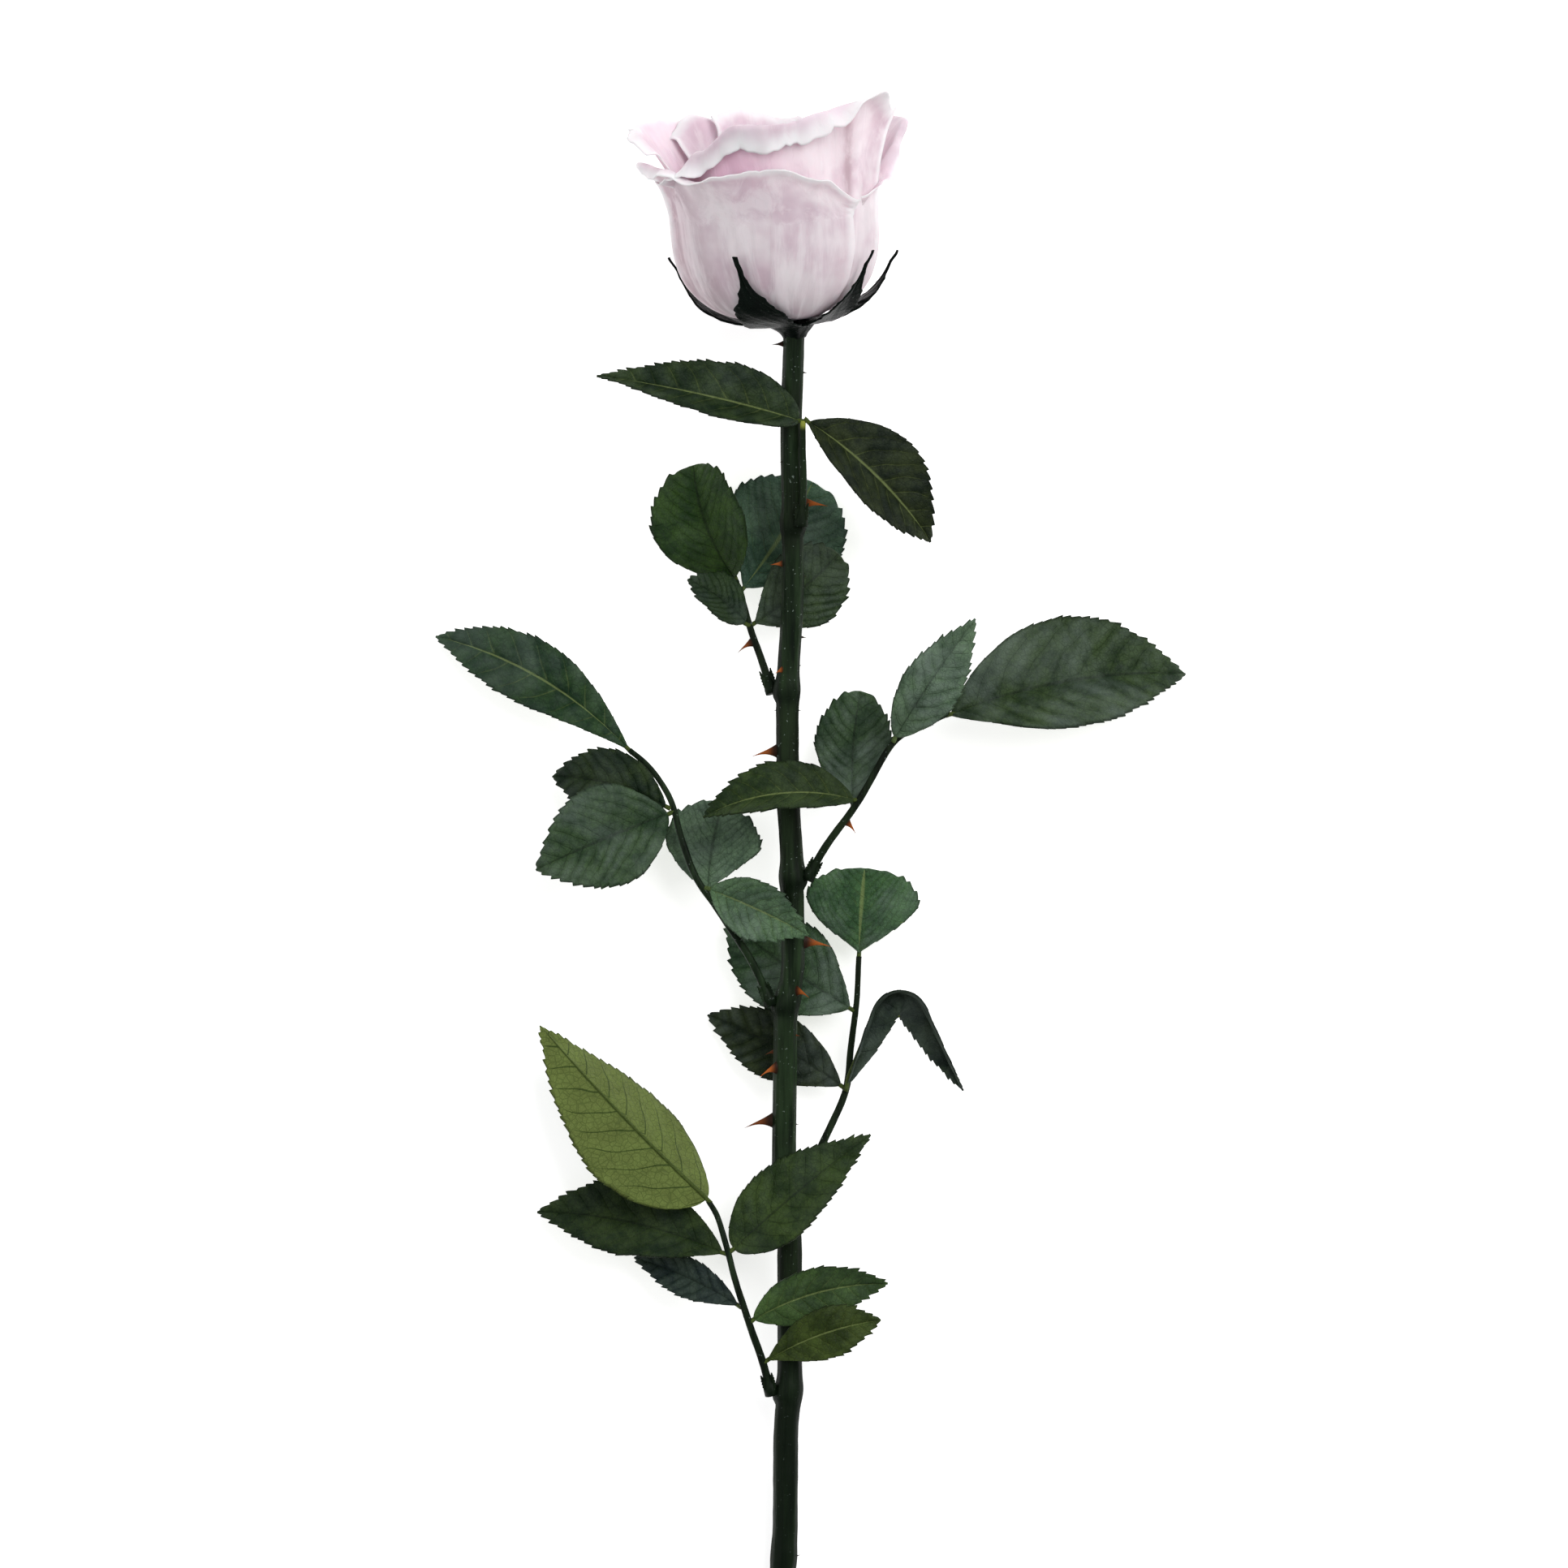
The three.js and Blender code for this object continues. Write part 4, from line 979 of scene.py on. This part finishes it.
# outermost first; rim, flare and roll run from the left edge to the right
outerPetals = {
    "front": {
        "angle": -20, "halfAngle": 62, "rim": [49.5, 48, 44, 43.5, 44.5, 40.5, 34], "flare": [52, 24, 18],
        "roll": [150, 70, 20, 20, 30], "band": 4.5, "lift": 1.5, "ragged": 0.35,
        "folds": [(0.62, 0.05, 0.5), (-0.35, 0.05, -0.25)], "notches": [(-0.66, 0.015, 0.9), (0.2, 0.02, 0.5)],
    },
    "tall": {
        "angle": 4, "halfAngle": 71, "fullWidthAt": 1, "rim": [44, 55, 61.5, 61, 62.8, 63.4, 54.5],
        "flare": [14, 6, 6, 24], "roll": [60, 165, 180, 165, 70, 6], "band": 8.5, "bend": 0.42, "lift": 0.7,
        "ragged": 0.9, "folds": [(0.42, 0.07, -0.9), (0.62, 0.06, 0.9), (0.8, 0.05, -0.7), (-0.5, 0.1, -0.5)],
        "notches": [(0.02, 0.02, 1.6), (0.1, 0.015, 1.2), (0.36, 0.02, 1.2), (-0.3, 0.02, 0.6)],
        # the tall petal's last two keys are painted shade: pink shade in the hollow on its left, and a painted shadow
        # beside the front petal's right edge
        "pinkShade": (-0.45, 0.72, 0.4, 0.75), "shade": (0.57, 0.035, 1.0),
    },
    "right": {
        "angle": 107, "halfAngle": 60, "fullWidthAt": 0.45, "rim": [31, 38, 50, 57, 55, 50, 46],
        "flare": [0, 10, 52, 66, 38, 18, 12], "roll": [0, 50, 150, 170, 80, 10, 10], "band": 6.5, "bend": 0.5,
        "ragged": 0.4, "notches": [(0.1, 0.02, 1.0)],
    },
    "left": {
        "angle": -120, "halfAngle": 52, "early": 0.35, "rim": [44, 48, 52, 56, 57.5, 57, 51.5],
        "flare": [10, 14, 22, 30, 35, 36, 34], "roll": [10, 40, 80, 60], "band": 4, "ragged": 0.6,
        "notches": [(0.5, 0.03, 1.5)],
    },
    "back_left": {
        "angle": -163, "halfAngle": 46, "rim": [46, 49, 50, 51, 52.5, 54.5, 51], "flare": [8, 8, 10, 20, 38],
        "roll": [10, 40, 60, 60], "band": 4,
    },
    "back_right": {
        "angle": 172, "halfAngle": 50, "rim": [46, 47, 48, 49, 51, 53, 52], "flare": [10, 6, 6],
        "roll": [10, 20, 30], "band": 4,
    },
    "right_inner": {
        "angle": 118, "halfAngle": 50, "rim": [46, 53, 54, 52, 50, 48, 46], "flare": [16, 12, 2],
        "roll": [10, 30, 6], "band": 3,
    },
    "left_inner": {
        "angle": -84, "halfAngle": 48, "rim": [42, 43, 44, 44, 43, 42, 41], "flare": [6, 6, 2],
        "roll": [10, 16, 10], "band": 3,
    },
}
# what a petal has unless it says otherwise; folds and notches are place, width and depth
usualPetal = {
    "fullWidthAt": 0.7, "sideWave": 1.2, "ragged": 0.5, "notches": (), "rollWave": 14, "early": 1, "bend": 0.62,
    "crease": 0.22, "folds": (), "lift": 0.3, "buckle": 0.25, "pinkShade": (0, 0, 1, 0), "shade": (0, 1, 0),
}
tilt, lean = np.radians(flower["tilt"]), np.radians(flower["lean"])
leanTurn = np.array([[np.cos(lean), -np.sin(lean), 0], [np.sin(lean), np.cos(lean), 0], [0, 0, 1]])
tiltTurn = np.array([[1, 0, 0], [0, np.cos(tilt), -np.sin(tilt)], [0, np.sin(tilt), np.cos(tilt)]])
flowerTurn = tiltTurn @ leanTurn
flowerFoot = stemAxis(0.0) - np.array([flower["setLeft"], 0, 0]) + origin


def fromFlower(radius, height, angle):
    # angle 0 faces up off the table, 90 is on the right
    angle = np.radians(angle)
    return flowerFoot + vec(radius * np.sin(angle), height, radius * np.cos(angle)) @ flowerTurn.T


def bowl(layer):
    radius = mix(flower["coreRadius"], flower["radius"], layer)
    foot = flower["floor"] + flower["coneHeight"] * (1 - layer)
    belly = mix(flower["coreBellyHeight"], flower["bellyHeight"], layer)
    inner = min(1.3 + flower["hipRimRadius"] * layer, radius * 0.8)
    return radius, foot, belly, np.arcsin((inner / radius) ** (flower["bowlPower"] / 2))


def petalShape(petal, layer, seed):
    radius, foot, belly, start = bowl(layer)
    power = 2 / flower["bowlPower"]
    wallFoot = foot + belly
    closing = max(1 - 2 * layer, 0) * flower["closing"]
    steps = flower["wallSteps"]
    petal = usualPetal | petal

    def shape(share, across):
        # the grid gives more rows to the wall than to the bowl
        share = np.where(share < 0.4, share / 0.4 * 0.5, 0.5 + (share - 0.4) / 0.6 * 0.5)
        narrow = mix(0.85, 1, smooth(share / petal["fullWidthAt"]))
        reach = np.clip((share - 0.5) / 0.5, 0, 1)
        sideWave = petal["sideWave"] * wobble(share * 9 + (across > 0) * 2, seed) * np.abs(across) ** 4
        angle = petal["angle"] + across * petal["halfAngle"] * narrow + sideWave
        turn = mix(start, np.pi / 2, np.clip(share / 0.5, 0, 1))
        bowlOut = radius * np.sin(turn) ** power
        bowlHigh = foot + belly * (1 - np.maximum(np.cos(turn), 0) ** power)

        # the rim is ragged: slow waves, small scallops and a few torn notches
        ragged = petal["ragged"] * (wobble(across * 9, seed + 3) + 0.3 * wobble(across * 37, seed + 6))
        for at, wide, deep in petal["notches"]:
            ragged = ragged - deep * np.exp(-np.abs((across - at) / wide) ** 1.3)
        hinge = alongList(petal["rim"], across) - wallFoot - petal["band"]
        length = hinge + petal["band"] + ragged
        flare = np.radians(alongList(petal["flare"], across))
        roll = np.radians(alongList(petal["roll"], across) + petal["rollWave"] * wobble(across * 8, seed + 8))
        step = length * reach / steps
        out, high = np.full_like(share, radius), np.full_like(share, wallFoot)
        for k in range(steps):
            done = (k + 0.5) * step
            way = flare * (done / length) ** petal["early"]
            way = way + roll * smooth((done - hinge) / (petal["band"] * petal["bend"]))
            out = out + step * np.sin(way)
            high = high + step * np.cos(way)
        out = out - radius * closing * smooth(reach)
        out, high = np.where(share < 0.5, bowlOut, out), np.where(share < 0.5, bowlHigh, high)

        # creases that fan from the foot, and a gentle buckle of the wall
        crease = petal["crease"] * wobble(across * 15 + 0.7 * wobble(share * 5, seed + 1), seed + 4)
        crease = crease * smooth(share / 0.3) * (1 - 0.4 * reach)
        for at, wide, deep in petal["folds"]:
            crease = crease + deep * hump(across - at - 0.12 * (share - 0.5), wide) * smooth((share - 0.4) / 0.35)
        crease = crease + petal["lift"] * np.abs(across) ** 14 * smooth((share - 0.15) / 0.3)
        buckle = petal["buckle"] * wobble(across * 5 + share * 4, seed + 5) * reach

        # painted shade: the petal is duller low down and towards its left edge, and along the shade band a petal may
        # give, a painted shadow where another petal's edge lies over it
        paintedShade = 0.5 * smooth((0.62 - share) / 0.35) + 0.75 * smooth((0.1 - across) / 0.9) * smooth((1 - share) / 0.2)
        paintedShade = paintedShade * (0.75 + 0.35 * wobble(across * 6 + share * 3, seed + 9))
        at, wide, much = petal["shade"]
        paintedShade = paintedShade + much * hump(across - at, wide)
        # painted shade, pink, in the hollow of a petal's wall, as on the tall petal's left
        at, along, wide, much = petal["pinkShade"]
        pinkShade = much * hump(across - at, wide) * hump(share - along, 0.16)
        points = fromFlower(out + crease + buckle, high, angle)
        return points, {"seed": seed * 0.37, "pinkShade": pinkShade, "paintedShade": np.clip(paintedShade, 0, 1)}
    return shape


def makePetal(node, petal, layer, seed, columns, rows):
    piece = sheetPiece(node + "Skin", columns, rows, petalShape(petal, layer, seed))
    addMaterials(piece, petalOutside, petalInside)
    thicken(piece, flower["thickness"], 1)
    return finishPiece(piece, node, "petal")


def makeFlower():
    layers = innerPetals["count"] + len(outerPetals) - 1
    for k, (name, petal) in enumerate(outerPetals.items()):
        makePetal("petal_" + name, petal, (layers - k) / layers, 20 + k, flower["columns"], flower["rows"])
    for k in range(innerPetals["count"]):
        height = innerPetals["height"] + 1.5 * np.sin(2.4 * k)
        petal = {
            "angle": innerPetals["firstAngle"] + k * innerPetals["turn"],
            "halfAngle": mix(innerPetals["widest"], innerPetals["narrowest"], k / (innerPetals["count"] - 1)),
            "rim": [height - 5, height - 1, height, height - 1, height - 5], "flare": [0, 0], "roll": [10, 18, 10],
            "band": 2, "crease": 0.08, "buckle": 0.08, "ragged": 0.4, "rollWave": 8, "sideWave": 0.5,
        }
        makePetal(f"petal_heart_{k + 1}", petal, k / layers, 40 + k, flower["innerColumns"], flower["innerRows"])


makeFlower()
print("flower opened:", len(outerPetals), "outer and", innerPetals["count"], "inner petals")

# calyx; the hip's profile is height and radius, from under its foot round to its inside
hipLook = {
    "profile": [(-2.6, 0.2), (-2.6, 2.7), (-1.4, 3.3), (-0.4, 4.3), (0.6, 5.6), (1.6, 6.5), (2.5, 5.6), (4.5, 4.4),
                (9, 2.9), (13, 1.7), (15.6, 0.9), (16.3, 0.1)],
    "sides": 48, "rings": 48, "ribs": 0.03, "fineRibs": 0.02,
}
sepals = {
    "front_left": {"angle": -18, "halfWidth": 6, "height": 22.5, "standOff": 1.2, "hook": -6, "footShare": 1.25},
    "front_right": {"angle": 38, "halfWidth": 3.8, "height": 20.5, "standOff": 1.2, "hook": 12, "footShare": 1.4},
    "left": {"angle": -98, "halfWidth": 4, "height": 19.5, "standOff": 1.2, "hook": 0, "footShare": 1.3},
    "right": {"angle": 102, "halfWidth": 3.6, "height": 17, "standOff": 1.6, "hook": 0, "footShare": 1.4},
    "back": {"angle": -166, "halfWidth": 4.4, "height": 15, "standOff": 0.3, "hook": 6, "footShare": 1.3},
}
sepalLook = {
    "thickness": 0.42, "columns": 18, "rows": 80, "offPetals": 0.95, "insideRim": 1.6, "waist": 0.45, "tipShare": 0.1,
    "barb": 0.5, "torn": 0.1, "cupped": 0.7, "footLift": 0.9, "tipCurl": 0.9,
}


def hipShape(share, angle, skin):
    high, wide = np.array(hipLook["profile"]).T
    run = np.concatenate([[0], np.cumsum(np.hypot(np.diff(high), np.diff(wide)))])
    place = share * run[-1]
    radius = np.interp(place, run, wide) * skin
    height = np.interp(place, run, high)
    radius = radius * (1 + hipLook["ribs"] * np.sin(5 * angle + 0.6) + hipLook["fineRibs"] * np.sin(11 * angle))
    shift = flower["setLeft"] * smooth((2 - height) / 3)
    return fromFlower(radius, height, 90 - np.degrees(angle)) + vec(shift, 0, 0), {}


def sepalShape(sepal, seed):
    look = sepalLook
    radius, foot, belly, _ = bowl(1)
    power = 2 / flower["bowlPower"]
    end = np.arccos((1 - max(sepal["height"] - foot, 1) / belly) ** (1 / power))
    start = np.arcsin(((flower["hipRimRadius"] - look["insideRim"]) / radius) ** (1 / power))

    def shape(share, across):
        turn, waist, edge, rightHalf = mix(start, end, share), look["waist"], np.abs(across), across > 0
        bulge = radius * np.sin(turn) ** power
        rise = foot + belly * (1 - np.cos(turn) ** power)
        taper = mix(1, look["tipShare"], smooth((share - waist) / waist))
        outline = np.where(share < waist, mix(sepal["footShare"], 1, smooth(share / waist)), taper)
        torn = 1 + look["torn"] * wobble(share * 23 + rightHalf * 3, seed) * edge ** 4
        barb = look["barb"] * hump((share * 6 + 0.4 * rightHalf) % 1 - 0.5, 0.12) * edge ** 8
        barb = barb * smooth((share - 0.2) / 0.2) * smooth((0.95 - share) / 0.2)
        off = look["offPetals"] + sepal["standOff"] * share ** 3
        off = off + look["cupped"] * edge ** 2 * smooth(share / 0.3) * outline
        off = off + 0.18 * wobble(share * 10 + across * 3, seed + 1) + look["footLift"] * smooth((0.3 - share) / 0.3)
        half = sepal["halfWidth"] * outline * torn + barb
        swing = sepal["angle"] + sepal["hook"] * share ** 2 + np.degrees(across * half / bulge)
        curl = look["tipCurl"] * smooth((share - 0.9) / 0.1)
        return fromFlower(bulge + off * np.sin(turn) + curl, rise - off * np.cos(turn), swing), {}
    return shape


def makeCalyx():
    hip = roundPiece("hipSkin", hipLook["sides"], hipLook["rings"], hipShape)
    finishPiece(hip, "hip", "calyx", calyxSkin)
    for k, (name, sepal) in enumerate(sepals.items()):
        piece = sheetPiece("sepalSkin_" + name, sepalLook["columns"], sepalLook["rows"], sepalShape(sepal, 60 + k))
        thicken(piece, sepalLook["thickness"])
        finishPiece(piece, "sepal_" + name, "calyx", calyxSkin)


makeCalyx()
print("calyx closed round the petals with", len(sepals), "sepals")
